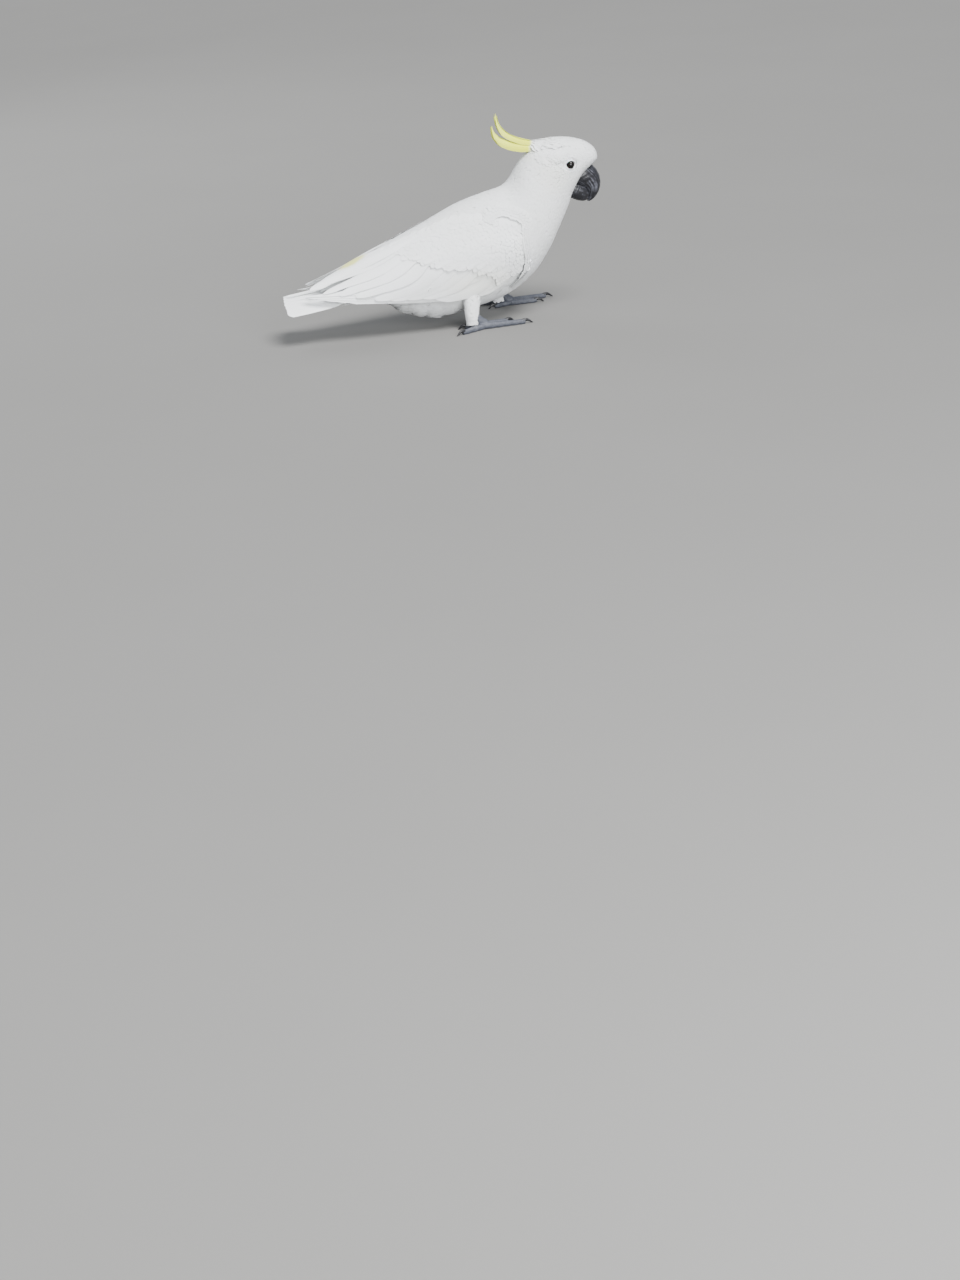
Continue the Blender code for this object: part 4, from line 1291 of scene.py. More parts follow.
def march(tree, starts, directions, lengths, rows):
    """Walks each feather's shaft over a surface; returns its places and the normals there."""
    centres = np.empty((len(starts), rows, 3))
    normals = np.empty_like(centres)
    for index in range(len(starts)):
        place, normal, _, _ = tree.find_nearest(Vector(starts[index]))
        heading = Vector(directions[index])
        step = lengths[index] / (rows - 1)
        for row in range(rows):
            if row:
                place, normal, _, _ = tree.find_nearest(place + heading * step)
            heading = (heading - normal * heading.dot(normal)).normalized()
            centres[index, row] = place
            normals[index, row] = normal
    normals[:, 1:-1] = unit(normals[:, :-2] + normals[:, 1:-1] * 2 + normals[:, 2:])
    return centres, normals


# %% [markdown]
# ## Body plumage
# Feathers are finest round the bill and eyes, a few millimetres long, and grow to two centimetres
# on the breast and back. Long loose ones cover the rump and hang as fluff round the legs, and
# the shanks wear short feathers down to the foot. Each is planted on the skin and walks over it
# with its tip at the plumage's outline, so the ones in front lie over the ones behind.

# %% Plumage regions
PLUMAGE = (  # distance from the bill's base, spacing, length, half width
    (0.000, 0.00115, 0.0030, 0.0009),
    (0.014, 0.00125, 0.0040, 0.0012),
    (0.030, 0.00165, 0.0068, 0.0021),
    (0.050, 0.00215, 0.0110, 0.0037),
    (0.080, 0.00260, 0.0150, 0.0052),
    (0.130, 0.00310, 0.0200, 0.0062),
    (0.250, 0.00330, 0.0230, 0.0070),
)
BODY, WING, SHANK, HIDDEN = range(4)
ON_WING, BEHIND_WING, AT_STUMP = 0.0095, 0.0130, 0.0100  # distances from the wing's face
EYE_CLEARANCE = 0.0081
LEG_TOP, LEG_REACH, SHANK_REACH = 0.055, 0.021, 0.018
SHANK_GAP = 0.0021  # between the roots on the shanks


def shank_nearness(points):
    """How far each point is from the nearer leg's middle line."""
    nearest = np.full(len(points), 1e9)
    for foot in FOOT_BALLS:
        rows = curve_through(SHANK_RINGS, 20)
        x = FOOT_BALLS[foot][0] - HEEL_BACK + np.interp(points[:, 2], rows[:, 0], rows[:, 1])
        y = FOOT_BALLS[foot][1] * np.interp(points[:, 2], rows[:, 0], rows[:, 2])
        nearest = np.minimum(nearest, np.hypot(points[:, 0] - x, points[:, 1] - y))
    return nearest


def nearest_of(tree, points):
    found = [tree.find(point) for point in points.tolist()]
    return np.array([item[1] for item in found]), np.array([item[2] for item in found])


def folded(points):
    """Both sides of the bird brought to its left side."""
    return points * [1, 0, 1] + np.abs(points * [0, 1, 0])


def classify(points, normals):
    """Body, the wing's outer face, shank, or hidden behind a wing; and the nearest flow."""
    nearest, to_body = nearest_of(body_tree, points)
    on_wing, to_wing = nearest_of(left_wing_tree, folded(points))
    turned = normals * np.where(points[:, 1:2] < 0, [[1, -1, 1]], [[1, 1, 1]])
    facing = (turned * flesh_out[on_wing]).sum(axis=1)
    kind = np.where((to_wing < ON_WING) & (facing > 0.20), WING, BODY)
    behind = (to_wing < BEHIND_WING) & (facing < -0.6) & (to_body > 0.0075)
    stump = (points[:, 0] < -0.045) & (points[:, 2] < 0.098) & (np.abs(points[:, 1]) > 0.020)
    stump = stump & (to_wing < AT_STUMP) & (facing < 0.30)
    kind = np.where(behind | stump, HIDDEN, kind)
    leg = (shank_nearness(points) < LEG_REACH) & (points[:, 2] < LEG_TOP) & (to_body > 0.0035)
    return np.where(leg & (kind == BODY), SHANK, kind), nearest


def eye_distance(points):
    return np.linalg.norm(folded(points) - (EYE + [0, 0.004, 0]), axis=1)


def plumage_measure(points, column):
    reach, *columns = zip(*PLUMAGE)
    measure = np.interp(bill_reach(points), reach, columns[column])
    finest = columns[column][0] * 1.05
    return finest + (measure - finest) * smooth_step(0.008, 0.022, eye_distance(points))


def spacing(points):
    on_shank = (points[:, 2] < LEG_TOP) & (shank_nearness(points) < SHANK_REACH)
    return np.where(on_shank, SHANK_GAP, plumage_measure(points, 0))


def bare(points):
    """True on the ring round each eye and where the bill comes out."""
    away = folded(points) - EYE
    axis = eye_axis("left")
    height = away @ axis
    ring = np.linalg.norm(away - height[:, None] * axis, axis=1)
    eye = (ring < EYE_CLEARANCE) & (np.linalg.norm(away, axis=1) < 0.013)
    upper = (points[:, 0] > 0.2005) & (points[:, 2] < 0.186)
    lower = (points[:, 0] > 0.1860) & (points[:, 2] < 0.166)
    return eye | upper | lower


roots, root_normals, root_places = scatter(spacing, 150000, lambda points: ~bare(points))
kinds, flow_index = classify(roots, root_normals)
print(len(roots), "roots:", np.bincount(kinds).tolist(), "on body, wings, shanks and hidden")


# %% Body coat
LIE_JITTER = 0.035  # how far a feather may turn from the lie of the coat, as a part of its length
LOOSE_PARTS = (  # middle of a loose region, reach, extra length, extra lift
    ((-0.022, 0.0, 0.020), 0.060, 0.006, 0.0055),
    ((0.060, 0.0, 0.022), 0.030, 0.001, 0.0002),
)


SWIRL = (90, 153, 72)  # radians to a metre


def swirl(points):
    """A slow, smooth wander in three directions."""
    phase = np.random.default_rng(3).uniform(0, 6.28, 3)
    waves = [np.sin(points @ np.roll(SWIRL, turn) + phase[turn]) for turn in range(3)]
    return np.stack(waves, axis=1)


WING_FRONT = (  # height and forward reach of the wing's front edge, where the breast feathers end
    (0.0400, 0.0660), (0.0550, 0.0860), (0.0700, 0.1010), (0.0784, 0.1010), (0.0855, 0.0985),
    (0.1096, 0.0950), (0.1266, 0.0955), (0.1326, 0.0900), (0.1360, 0.0800),
)
FRONT_GAP = ((0.052, 0.0020), (0.060, 0.0055))  # height, the least reach of a root past that edge


def front_line(points):
    """How far ahead of the wing's front edge a place on the breast's side is; 0 elsewhere."""
    edge = np.interp(points[:, 2], *zip(*WING_FRONT))
    beside = (points[:, 2] > 0.042) & (points[:, 2] < 0.136) & (np.abs(points[:, 1]) > 0.024)
    ahead = (points[:, 0] > edge) & (points[:, 0] < edge + 0.05)
    return np.where(beside & ahead, points[:, 0] - edge, 0.0)


SHANK_DOWN = ((0.012, 0.0060), (0.030, 0.0090), (0.060, 0.0120))  # height, length of a feather
SHANK_LOWEST, SHANK_HIGHEST = 0.0115, 0.062
STEADY_HEIGHT = 0.0125  # below this the shank no longer narrows under its feathers


def shank_blades(foot):
    """Rings of short down feathers round one leg, from the belly to just above the foot."""
    heights, shift_x, shift_y, radii = curve_through(SHANK_RINGS, 60)[:, :4].T
    starts = []
    for level, height in enumerate(np.arange(SHANK_LOWEST, SHANK_HIGHEST, SHANK_GAP)):
        count = int(2 * math.pi * np.interp(height, heights, radii) / (SHANK_GAP * 1.05))
        turn = (np.arange(count) + 0.5 * (level % 2)) * 2 * math.pi / count
        turn = turn + rng.normal(0, 0.07, count)
        starts.append(np.stack([turn, height + rng.normal(0, 0.0004, count)], axis=1))
    turn, height = np.concatenate(starts).T
    count, rows = len(turn), 6
    length = np.interp(height, *zip(*SHANK_DOWN)) * rng.uniform(0.85, 1.2, count)
    along = np.linspace(0, 1, rows)
    z = height[:, None] - along * length[:, None]
    z = np.maximum(z, rng.uniform(0.0056, 0.0078, (count, 1)))
    turn = turn[:, None] + along * rng.normal(0, 0.10, (count, 1))
    steady = np.maximum(z, STEADY_HEIGHT)
    stands = 0.0002 + (1 - (1 - along) ** 1.5) * rng.uniform(0.0011, 0.0019, (count, 1))
    radius = np.interp(steady, heights, radii) - SHANK_INSET - 0.0010 + stands
    out_x, out_y = np.cos(turn), np.sin(turn)
    ball_x, ball_y = FOOT_BALLS[foot]
    x = ball_x - HEEL_BACK + np.interp(steady, heights, shift_x) + radius * out_x
    y = ball_y * np.interp(steady, heights, shift_y) + radius * SHANK_FLATNESS * out_y
    centres = np.stack([x, y, z], axis=-1)
    normals = unit(np.stack([out_x * SHANK_FLATNESS, out_y, np.zeros_like(out_x)], axis=-1))
    widths = feather_widths(rng.uniform(0.0017, 0.0024, count), rows, root=0.5, end=0.55)
    made = blades(centres, normals, widths, 0.00006, 0.18, 0.16, 0.5, 5)
    return made, place_on_unwrap(centres[:, 0])


# Side view of the wing's lower edge, from the wrist to the tip.
LOWER_EDGE = np.array([(section[3], section[5]) for section in WING_SECTIONS])
TUCK = 0.0013  # how deep a flank feather lies below the wing's face
BESIDE, INWARDS = 0.2, Vector((0, -1, 0))  # rays start this far out on the left and go inwards


def tuck(centres, sign):
    """Lays the part of a flank feather that lies beside the wing under the wing's face."""
    for row, (x, y, z) in enumerate(centres):
        place, _, _, _ = wing_tree.ray_cast(Vector((x, BESIDE, z)), INWARDS)
        if place is not None and abs(y) > place.y - TUCK:
            centres[row, 1] = sign * (place.y - TUCK)


CROWN_LIFT, TRENCH_DEPTH, BROW_LIFT, FRONT_LIFT = 0.0017, 0.0005, 0.0007, 0.0006
MOST_HALF = 0.42  # the half width of a short feather, as a part of its length
LOBE_LENGTH, LOBE_SLANT = 0.021, 90  # the loose down hangs in lobes
LOWEST_FEATHER = 0.0055


def head_shares(side):
    """How far each place belongs to the crown, the trench below it and the ear patch's edge."""
    x, groove, cheek = side[:, 0], above_line(side, CROWN_GROOVE), above_line(side, CHEEK_LINE)
    on_crown = smooth_step(0.182, 0.165, x)
    crown = smooth_step(-0.0004, 0.0006, groove) * on_crown * (x > 0.118)
    trench = smooth_step(-0.0026, -0.0016, groove) * smooth_step(0.0002, -0.0006, groove)
    brow = smooth_step(-0.0007, 0.0007, cheek) * smooth_step(0.172, 0.164, x) * (x > 0.137)
    return crown, trench * on_crown * (x > 0.118), brow


def coat_rise(rows):
    """How a feather leaves the skin from its root (0) to its tip (1)."""
    return 1 - (1 - np.linspace(0, 1, rows)) ** 1.6


def body_blades(chosen, rows, columns, ragged):
    """Blades for these roots, walked over the skin along the lie of the coat."""
    points, normals = roots[chosen], root_normals[chosen]
    side, count = folded(points), len(points)
    sway = 0.12 * swirl(points) * (0.3 + smooth_step(0.02, 0.08, bill_reach(points)))[:, None]
    flow = unit(body_flow[flow_index[chosen]] + sway)
    flow = unit(flow + rng.normal(0, LIE_JITTER, points.shape))
    length = plumage_measure(points, 1) * rng.uniform(0.85, 1.15, count)
    half = plumage_measure(points, 2) * rng.uniform(0.85, 1.15, count)
    # Feathers are shorter round the eye, along the wing, round the legs and ahead of the wing.
    length = length * (0.55 + 0.45 * smooth_step(0.0080, 0.0125, eye_distance(points)))
    _, to_wing = nearest_of(left_wing_tree, side)
    along_wing = smooth_step(0.020, 0.011, to_wing) * (points[:, 2] < 0.085)
    length = length * (1 - 0.40 * along_wing)
    front = front_line(points)
    length = np.where(front > 0, np.minimum(length, front * 1.1 + 0.0060), length)
    half = np.minimum(half, length * MOST_HALF)
    near_leg = smooth_step(0.034, 0.022, shank_nearness(points)) * (points[:, 2] < 0.062)
    length = length * (1 - 0.45 * near_leg)
    lift = coat_depth(points) * rng.uniform(0.97, 1.02, count)
    lift = lift + FRONT_LIFT * smooth_step(0.030, 0.012, front) * (front > 0)
    crown, trench, brow = head_shares(side)
    lift = lift + CROWN_LIFT * crown - TRENCH_DEPTH * trench + BROW_LIFT * brow
    puff = np.zeros(count)
    for middle, reach, longer, higher in LOOSE_PARTS:
        away = np.linalg.norm((points - middle) * [1, 1.3, 1.6], axis=1)
        share = smooth_step(reach, reach * 0.4, away) * smooth_step(0.10, 0.90, -normals[:, 2])
        phase = points[:, 0] * 2 * math.pi / LOBE_LENGTH + np.abs(points[:, 1]) * LOBE_SLANT
        lobes = 0.5 + 0.5 * np.cos(phase)
        length = length + share * longer * rng.uniform(0, 1, count)
        puff = puff + share * higher * (0.35 + 0.65 * lobes + rng.uniform(-0.1, 0.15, count))
    centres, above = march(skin_tree, points, flow, length, rows)
    arc = np.sin(math.pi * np.linspace(0, 1, rows)) ** 0.8
    height = 0.0002 + coat_rise(rows) * lift[:, None] + arc * puff[:, None]
    centres = centres + above * height[..., None]
    below_wing = np.interp(-side[:, 0], -LOWER_EDGE[:, 0], LOWER_EDGE[:, 1]) + 0.008
    beside = (side[:, 0] < 0.094) & (side[:, 2] < below_wing) & (side[:, 1] > 0.018)
    for index in np.flatnonzero(beside):
        tuck(centres[index], np.sign(points[index, 1]))
    centres[..., 2] = np.maximum(centres[..., 2], LOWEST_FEATHER)
    widths = feather_widths(half, rows, root=0.35, end=0.70)
    thickness = np.where(half < 0.002, 0.00005, 0.00008)
    return blades(centres, above, widths, thickness, 0.14, ragged, 0.42, columns)


ahead_of_wing = front_line(roots)
well_ahead = ahead_of_wing > np.interp(roots[:, 2], *zip(*FRONT_GAP))
coat = ((kinds == BODY) & ((ahead_of_wing == 0) | well_ahead)) | ((kinds == WING) & well_ahead)
reach = bill_reach(roots)
face_part = np.flatnonzero(coat & (reach < 0.045))
neck_part = np.flatnonzero(coat & (reach >= 0.045) & (reach < 0.105))
body_part = np.flatnonzero(coat & (reach >= 0.105))
breast_part, flank_part, rump_part = np.array_split(body_part[np.argsort(-roots[body_part, 0])], 3)
for name, part, rows, columns, ragged in (
    ("face_feathers", face_part, 5, 4, 0.05),
    ("neck_feathers", neck_part, 6, 6, 0.035),
    ("breast_feathers", breast_part, 7, 7, 0.03),
    ("flank_feathers", flank_part, 7, 7, 0.03),
    ("rump_feathers", rump_part, 7, 7, 0.04),
):
    batch = (body_blades(part, rows, columns, ragged), root_places[part])
    feather_piece(name, [batch], down_finish)


# %% [markdown]
# The breast feathers drape over the front edge of the folded wing. They end on the wing along an
# arch that comes from the shoulder round the wrist to the belly.

# %% Feathers over the wrist
ARCH = (  # side view of the arch, from the shoulder down
    (0.0600, 0.1310), (0.0650, 0.1392), (0.0753, 0.1402), (0.0844, 0.1368), (0.0937, 0.1326),
    (0.0973, 0.1256), (0.0955, 0.1096), (0.0968, 0.0940), (0.0978, 0.0800), (0.0945, 0.0670),
    (0.0880, 0.0575), (0.0780, 0.0500),
)
ARCH_ROWS = (0.0096, 0.0064, 0.0032, 0.0)  # how far ahead of the arch each row ends, the deepest first
ARCH_STEP, WRIST_LEAN = 0.0024, (-0.85, -0.40)
WRIST_LENGTH, WRIST_HALF = 0.0125, 0.0042
WRIST_ROOT, WRIST_RISE = -0.0016, 0.0030
DRAPE_CELL, DRAPE_STEPS, DRAPE_SLOPE = 0.0015, 8, 1.5
DRAPE_X, DRAPE_Z = np.arange(0.030, 0.1301, DRAPE_CELL), np.arange(0.028, 0.1601, DRAPE_CELL)


def neighbours(grid):
    wide = np.pad(grid, 1, mode="edge")
    return [wide[:-2, 1:-1], wide[2:, 1:-1], wide[1:-1, :-2], wide[1:-1, 2:]]


def drape_heights():
    """How far out body and wing reach beside each place of the side view.

    Slopes lead from the body up to the wing.
    """
    reach = np.zeros((2, len(DRAPE_X), len(DRAPE_Z)))
    for layer, tree in enumerate((body_outline, wing_tree)):
        for i, j in np.ndindex(reach.shape[1:]):
            place, _, _, _ = tree.ray_cast(Vector((DRAPE_X[i], BESIDE, DRAPE_Z[j])), INWARDS)
            reach[layer, i, j] = place.y if place is not None else 0.0
    flesh, wing = reach
    wing = np.where(wing > flesh, wing, 0.0)
    for _ in range(DRAPE_STEPS):
        wing = np.maximum(wing, np.max(neighbours(wing), axis=0) - DRAPE_SLOPE * DRAPE_CELL)
    height = np.maximum(flesh, wing)
    for _ in range(2):
        height = sum(neighbours(height), 4 * height) / 8
    return height


drape = drape_heights()


def on_drape(grid, x, z):
    """Reads a grid over the side view between its lines."""
    i, j = (x - DRAPE_X[0]) / DRAPE_CELL, (z - DRAPE_Z[0]) / DRAPE_CELL
    i, j = np.clip(i, 0, len(DRAPE_X) - 1.001), np.clip(j, 0, len(DRAPE_Z) - 1.001)
    a, b = i.astype(int), j.astype(int)
    u, v = i - a, j - b
    near = grid[a, b] * (1 - u) + grid[a + 1, b] * u
    return near * (1 - v) + (grid[a, b + 1] * (1 - u) + grid[a + 1, b + 1] * u) * v


def travelled(line):
    """How far along the line each of its points lies."""
    return np.concatenate([[0], np.cumsum(np.linalg.norm(np.diff(line, axis=0), axis=1))])


def read_at(steps, travel, values):
    """Side-view values (x, z) read at these distances along a line."""
    return np.stack([np.interp(steps, travel, values[:, axis]) for axis in (0, 1)], axis=1)


def wrist_blades(side):
    """Breast feathers that drape over the front edge of the folded wing and end along the arch."""
    rows, tips, headings = 9, [], []
    line = curve_through(ARCH, 200)
    travel, forward = travelled(line), unit(np.gradient(line, axis=0))
    for rank, ahead in enumerate(ARCH_ROWS):
        steps = np.arange(ARCH_STEP / 2 * (rank % 2), travel[-1], ARCH_STEP)
        at, along = read_at(steps, travel, line), read_at(steps, travel, forward)
        inward = np.stack([along[:, 1], -along[:, 0]], axis=1)
        headings.append(unit(inward + WRIST_LEAN + rng.normal(0, 0.05, inward.shape)))
        tips.append(at - inward * (ahead + rng.normal(0, 0.0003, (len(at), 1))))
    tips, headings = np.concatenate(tips), np.concatenate(headings)
    length = WRIST_LENGTH * rng.uniform(0.92, 1.08, (len(tips), 1, 1))
    flat = tips[:, None] - headings[:, None] * length * np.linspace(1, 0, rows)[None, :, None]
    x, z = flat[..., 0], flat[..., 1]
    slope_x, slope_z = np.gradient(drape, DRAPE_CELL)
    fall_x, fall_z = on_drape(slope_x, x, z), on_drape(slope_z, x, z)
    normals = unit(np.stack([-fall_x, np.ones_like(x), -fall_z], axis=-1))
    rise = WRIST_ROOT + WRIST_RISE * coat_rise(rows)
    centres = np.stack([x, on_drape(drape, x, z), z], axis=-1) + normals * rise[None, :, None]
    centres, normals = mirror(centres, side), mirror(normals, side)
    widths = feather_widths(np.full(len(centres), WRIST_HALF), rows, root=0.40, end=0.75)
    made = blades(centres, normals, widths, 0.00010, 0.14, 0.03, 0.50, 7)
    return made, place_on_unwrap(centres[:, 0])


wrist_batches = [wrist_blades(side) for side in ("left", "right")]
feather_piece("wrist_feathers", wrist_batches, down_finish)
shank_batches = [shank_blades(foot) for foot in FOOT_BALLS]
feather_piece("shank_feathers", shank_batches, down_finish)

# %% [markdown]
# ## Laying feathers on the wing
# The long feathers are drawn as curves on the side view of the wing, as a bird painter would plan
# them, and each point of a curve is dropped sideways onto the wing's face. Lower layers lie
# deeper: primaries first, then secondaries from the lowest to the innermost, then the coverts.

# %% Wing planning
def on_wing(x, z):
    """The place on the left wing's face beside this point of the side view, and its normal."""
    place, normal, _, _ = wing_tree.ray_cast(Vector((x, BESIDE, z)), INWARDS)
    if place is None:
        place, normal, _, _ = wing_tree.find_nearest(Vector((x, 0.025, z)))
    return place, normal if normal.y > 0 else -normal


def drop_on_wing(curve, rows):
    """A smooth curve through side-view points, laid on the wing: (rows, 3) places and normals."""
    dense = curve_through(curve, 80)
    travel = travelled(dense)
    even = read_at(np.linspace(0, travel[-1], rows), travel, dense)
    found = [on_wing(x, z) for x, z in even]
    places = np.array([item[0] for item in found])
    normals = np.array([item[1] for item in found])
    for _ in range(3):
        normals[1:-1] = unit(normals[:-2] + 2 * normals[1:-1] + normals[2:])
        places[1:-1, 1] = (places[:-2, 1] + 2 * places[1:-1, 1] + places[2:, 1]) / 4
    return places, normals


VANE_DEPTH = 0.0004  # thickness of a long feather


def long_widths(half_width, rows, end):
    return feather_widths(half_width, rows, root=0.40, end=end, widest=0.45)


def lay_long(plans, side, rows):
    """Blades for planned feathers; a plan is a side-view curve and its five measures."""
    laid = [drop_on_wing(curve, rows) for curve, _ in plans]
    centres = mirror(np.array([item[0] for item in laid]), side)
    normals = mirror(np.array([item[1] for item in laid]), side)
    measures = [plan[1] for plan in plans]
    heights = np.array([np.linspace(root, tip, rows) for _, root, tip, _, _ in measures])
    centres = centres + normals * heights[..., None]
    widths = np.concatenate([long_widths(half, rows, end) for half, _, _, _, end in measures])
    # Across the blade, the edge that lies under its neighbour is the lower one.
    tilt = np.array([measure[3] for measure in measures]) * (1 if side == "left" else -1)
    made = blades(centres, normals, widths, VANE_DEPTH, 0.10, 0.003, 0.85, 9, tilt, frayed=0.012)
    return made, place_on_unwrap(centres[:, 0])


# %% [markdown]
# The flight feathers fan from the wrist and the forearm. The secondaries come down from the upper
# front and bend back along the wing, the lowest first, each later one higher and further back.
# The primaries lie below them and make the point of the wing beside the tail.

# %% Flight feather plans
PRIMARIES = (  # side-view curve; half width, root and tip height, tilt, width of the tip
    (
        ((0.090, 0.0700), (0.050, 0.0470), (-0.010, 0.0475), (-0.080, 0.0515), (-0.138, 0.0560)),
        (0.0070, -0.0034, -0.0020, 0.0006, 0.55),
    ),
    (
        ((0.086, 0.0730), (0.045, 0.0500), (-0.015, 0.0500), (-0.085, 0.0540), (-0.153, 0.0585)),
        (0.0070, -0.0032, -0.0018, 0.0006, 0.50),
    ),
    (
        ((0.082, 0.0760), (0.040, 0.0530), (-0.020, 0.0530), (-0.090, 0.0565), (-0.166, 0.0605)),
        (0.0070, -0.0030, -0.0015, 0.0006, 0.45),
    ),
    (
        ((0.078, 0.0790), (0.035, 0.0560), (-0.025, 0.0560), (-0.095, 0.0590), (-0.177, 0.0625)),
        (0.0070, -0.0028, -0.0012, 0.0006, 0.42),
    ),
    (
        ((0.074, 0.0820), (0.030, 0.0600), (-0.030, 0.0595), (-0.100, 0.0620), (-0.186, 0.0642)),
        (0.0068, -0.0026, -0.0009, 0.0006, 0.40),
    ),
    (
        ((0.070, 0.0850), (0.025, 0.0640), (-0.035, 0.0640), (-0.105, 0.0660), (-0.1915, 0.0655)),
        (0.0066, -0.0024, -0.0006, 0.0006, 0.38),
    ),
)
SECONDARIES = (
    (
        ((0.066, 0.0820), (0.036, 0.0560), (0.006, 0.0475), (-0.024, 0.0470)),
        (0.0090, -0.0022, -0.0006, 0.0007, 0.75),
    ),
    (
        ((0.055, 0.0900), (0.026, 0.0760), (0.003, 0.0610), (-0.040, 0.0495)),
        (0.0092, -0.0020, -0.0004, 0.0011, 0.75),
    ),
    (
        ((0.043, 0.0950), (0.010, 0.0780), (-0.016, 0.0620), (-0.061, 0.0510)),
        (0.0092, -0.0019, -0.0003, 0.0007, 0.75),
    ),
    (
        ((0.030, 0.0985), (-0.006, 0.0800), (-0.034, 0.0635), (-0.082, 0.0520)),
        (0.0092, -0.0017, -0.0002, 0.0007, 0.75),
    ),
    (
        ((0.016, 0.1010), (-0.020, 0.0840), (-0.050, 0.0660), (-0.102, 0.0545)),
        (0.0092, -0.0015, 0.0000, 0.0008, 0.72),
    ),
    (
        ((0.002, 0.1080), (-0.030, 0.0985), (-0.058, 0.0790), (-0.126, 0.0600)),
        (0.0096, -0.0010, 0.0002, 0.0012, 0.62),
    ),
    (
        ((-0.006, 0.1150), (-0.044, 0.1030), (-0.078, 0.0850), (-0.147, 0.0635)),
        (0.0096, -0.0008, 0.0002, 0.0006, 0.55),
    ),
    (
        ((-0.010, 0.1220), (-0.052, 0.1090), (-0.094, 0.0890), (-0.166, 0.0665)),
        (0.0092, -0.0006, 0.0002, 0.0005, 0.48),
    ),
    (
        ((-0.014, 0.1280), (-0.060, 0.1130), (-0.104, 0.0940), (-0.180, 0.0685)),
        (0.0080, -0.0004, 0.0002, 0.0005, 0.42),
    ),
)


# %% [markdown]
# Greater coverts cover the bases of the secondaries and end in the scalloped line across the
# middle of the wing. The scapulars lie along the upper edge, where wing and back meet.

# %% Covert plans
GREATER_TIPS = (  # tip (x, z) and the angle at which the feather comes down, in degrees
    (0.060, 0.0655, 50),
    (0.047, 0.0745, 50),
    (0.033, 0.0800, 48),
    (0.020, 0.0812, 46),
    (0.007, 0.0810, 44),
    (-0.007, 0.0822, 40),
    (-0.021, 0.0870, 36),
    (-0.035, 0.0935, 32),
    (-0.048, 0.0985, 28),
)
SCAPULAR_TIPS = (  # tip (x, z), angle, length
    (-0.098, 0.1010, 26, 0.052),
    (-0.088, 0.1045, 26, 0.050),
    (-0.078, 0.1070, 26, 0.048),
    (-0.067, 0.1110, 26, 0.046),
    (-0.056, 0.1130, 25, 0.044),
    (-0.045, 0.1175, 24, 0.042),
    (-0.033, 0.1190, 23, 0.040),
    (-0.021, 0.1240, 21, 0.038),
    (-0.008, 0.1260, 19, 0.036),
    (0.005, 0.1310, 17, 0.034),
    (0.018, 0.1330, 14, 0.032),
)
GREATER_LENGTH = 0.040
GREATER_MEASURES = (0.0088, -0.0008, 0.0010, 0.0008, 0.86)  # as in a plan of a flight feather
SCAPULAR_MEASURES = (0.0066, -0.0010, 0.0009, 0.0005, 0.72)
TERTIALS = (  # a line in space on the left side, half width: they roof the rump between the wings
    (
        ((-0.020, 0.0205, 0.1296), (-0.060, 0.0180, 0.1160), (-0.100, 0.0142, 0.1015),
        (-0.140, 0.0122, 0.0850), (-0.181, 0.0150, 0.0702)),
        0.0094,
    ),
    (
        ((-0.030, 0.0140, 0.1285), (-0.070, 0.0115, 0.1145), (-0.106, 0.0088, 0.1008),
        (-0.138, 0.0074, 0.0868), (-0.168, 0.0096, 0.0752)),
        0.0088,
    ),
)


TERTIAL_STANDS = (0.0014, 0.0006)


def lay_tertials(side):
    rows = 20
    lines = mirror(np.array([curve_through(points, rows) for points, _ in TERTIALS]), side)
    lean = np.stack([np.full(rows, 0.25), np.linspace(0.38, 0.66, rows), np.ones(rows)], axis=-1)
    normals = np.broadcast_to(mirror(unit(lean), side), lines.shape)
    lines = lines + normals * np.array(TERTIAL_STANDS)[:, None, None]
    widths = np.concatenate([long_widths(half, rows, 0.62) for _, half in TERTIALS])
    made = blades(lines, normals, widths, VANE_DEPTH, 0.36, 0.003, 0.8, 9, frayed=0.01)
    return made, place_on_unwrap(lines[:, 0])


def straight_plan(x, z, angle, length, measures):
    """A nearly straight feather that ends at (x, z), with a slight droop."""
    steep = math.radians(angle)
    back = np.array([math.cos(steep), math.sin(steep)]) * length
    middle = (x + back[0] * 0.5, z + back[1] * 0.5 + length * 0.03)
    return ((x + back[0], z + back[1]), middle, (x, z)), measures


greater = [straight_plan(*tip, GREATER_LENGTH, GREATER_MEASURES) for tip in GREATER_TIPS]
scapulars = [straight_plan(*tip, SCAPULAR_MEASURES) for tip in SCAPULAR_TIPS]
long_batches = []
covert_batches = []
for side in ("left", "right"):
    long_batches += [lay_long(PRIMARIES, side, 26), lay_long(SECONDARIES, side, 22), lay_tertials(side)]
    covert_batches += [lay_long(greater, side, 16), lay_long(scapulars, side, 16)]
flight = feather_piece("flight_feathers", long_batches, vane_finish)
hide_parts("wing_tip_left", "wing_tip_right")

# %% [markdown]
# The rest of the wing's front is covered by rows of smaller coverts, tiny at the wrist and larger
# towards the greater coverts, planted like the body's feathers but lying down and back.

# %% Small coverts
GREATER_LINE = (  # side view of the line that the greater coverts' tips make
    (-0.090, 0.1120), (-0.048, 0.0985), (-0.021, 0.0870), (0.000, 0.0815), (0.033, 0.0800),
    (0.060, 0.0655), (0.075, 0.0520),
)
WRIST_PLACE = np.array([0.098, 0.045, 0.105])
COVERT_STEEPNESS = ((-0.08, 24), (-0.02, 32), (0.04, 44), (0.085, 58), (0.105, 74))  # x, degrees
COVERT_SIZES = ((0, 0.010, 0.0034), (0.03, 0.016, 0.0050), (0.09, 0.022, 0.0068))
COVERT_TIP, COVERT_RISE = 0.0007, 0.0028


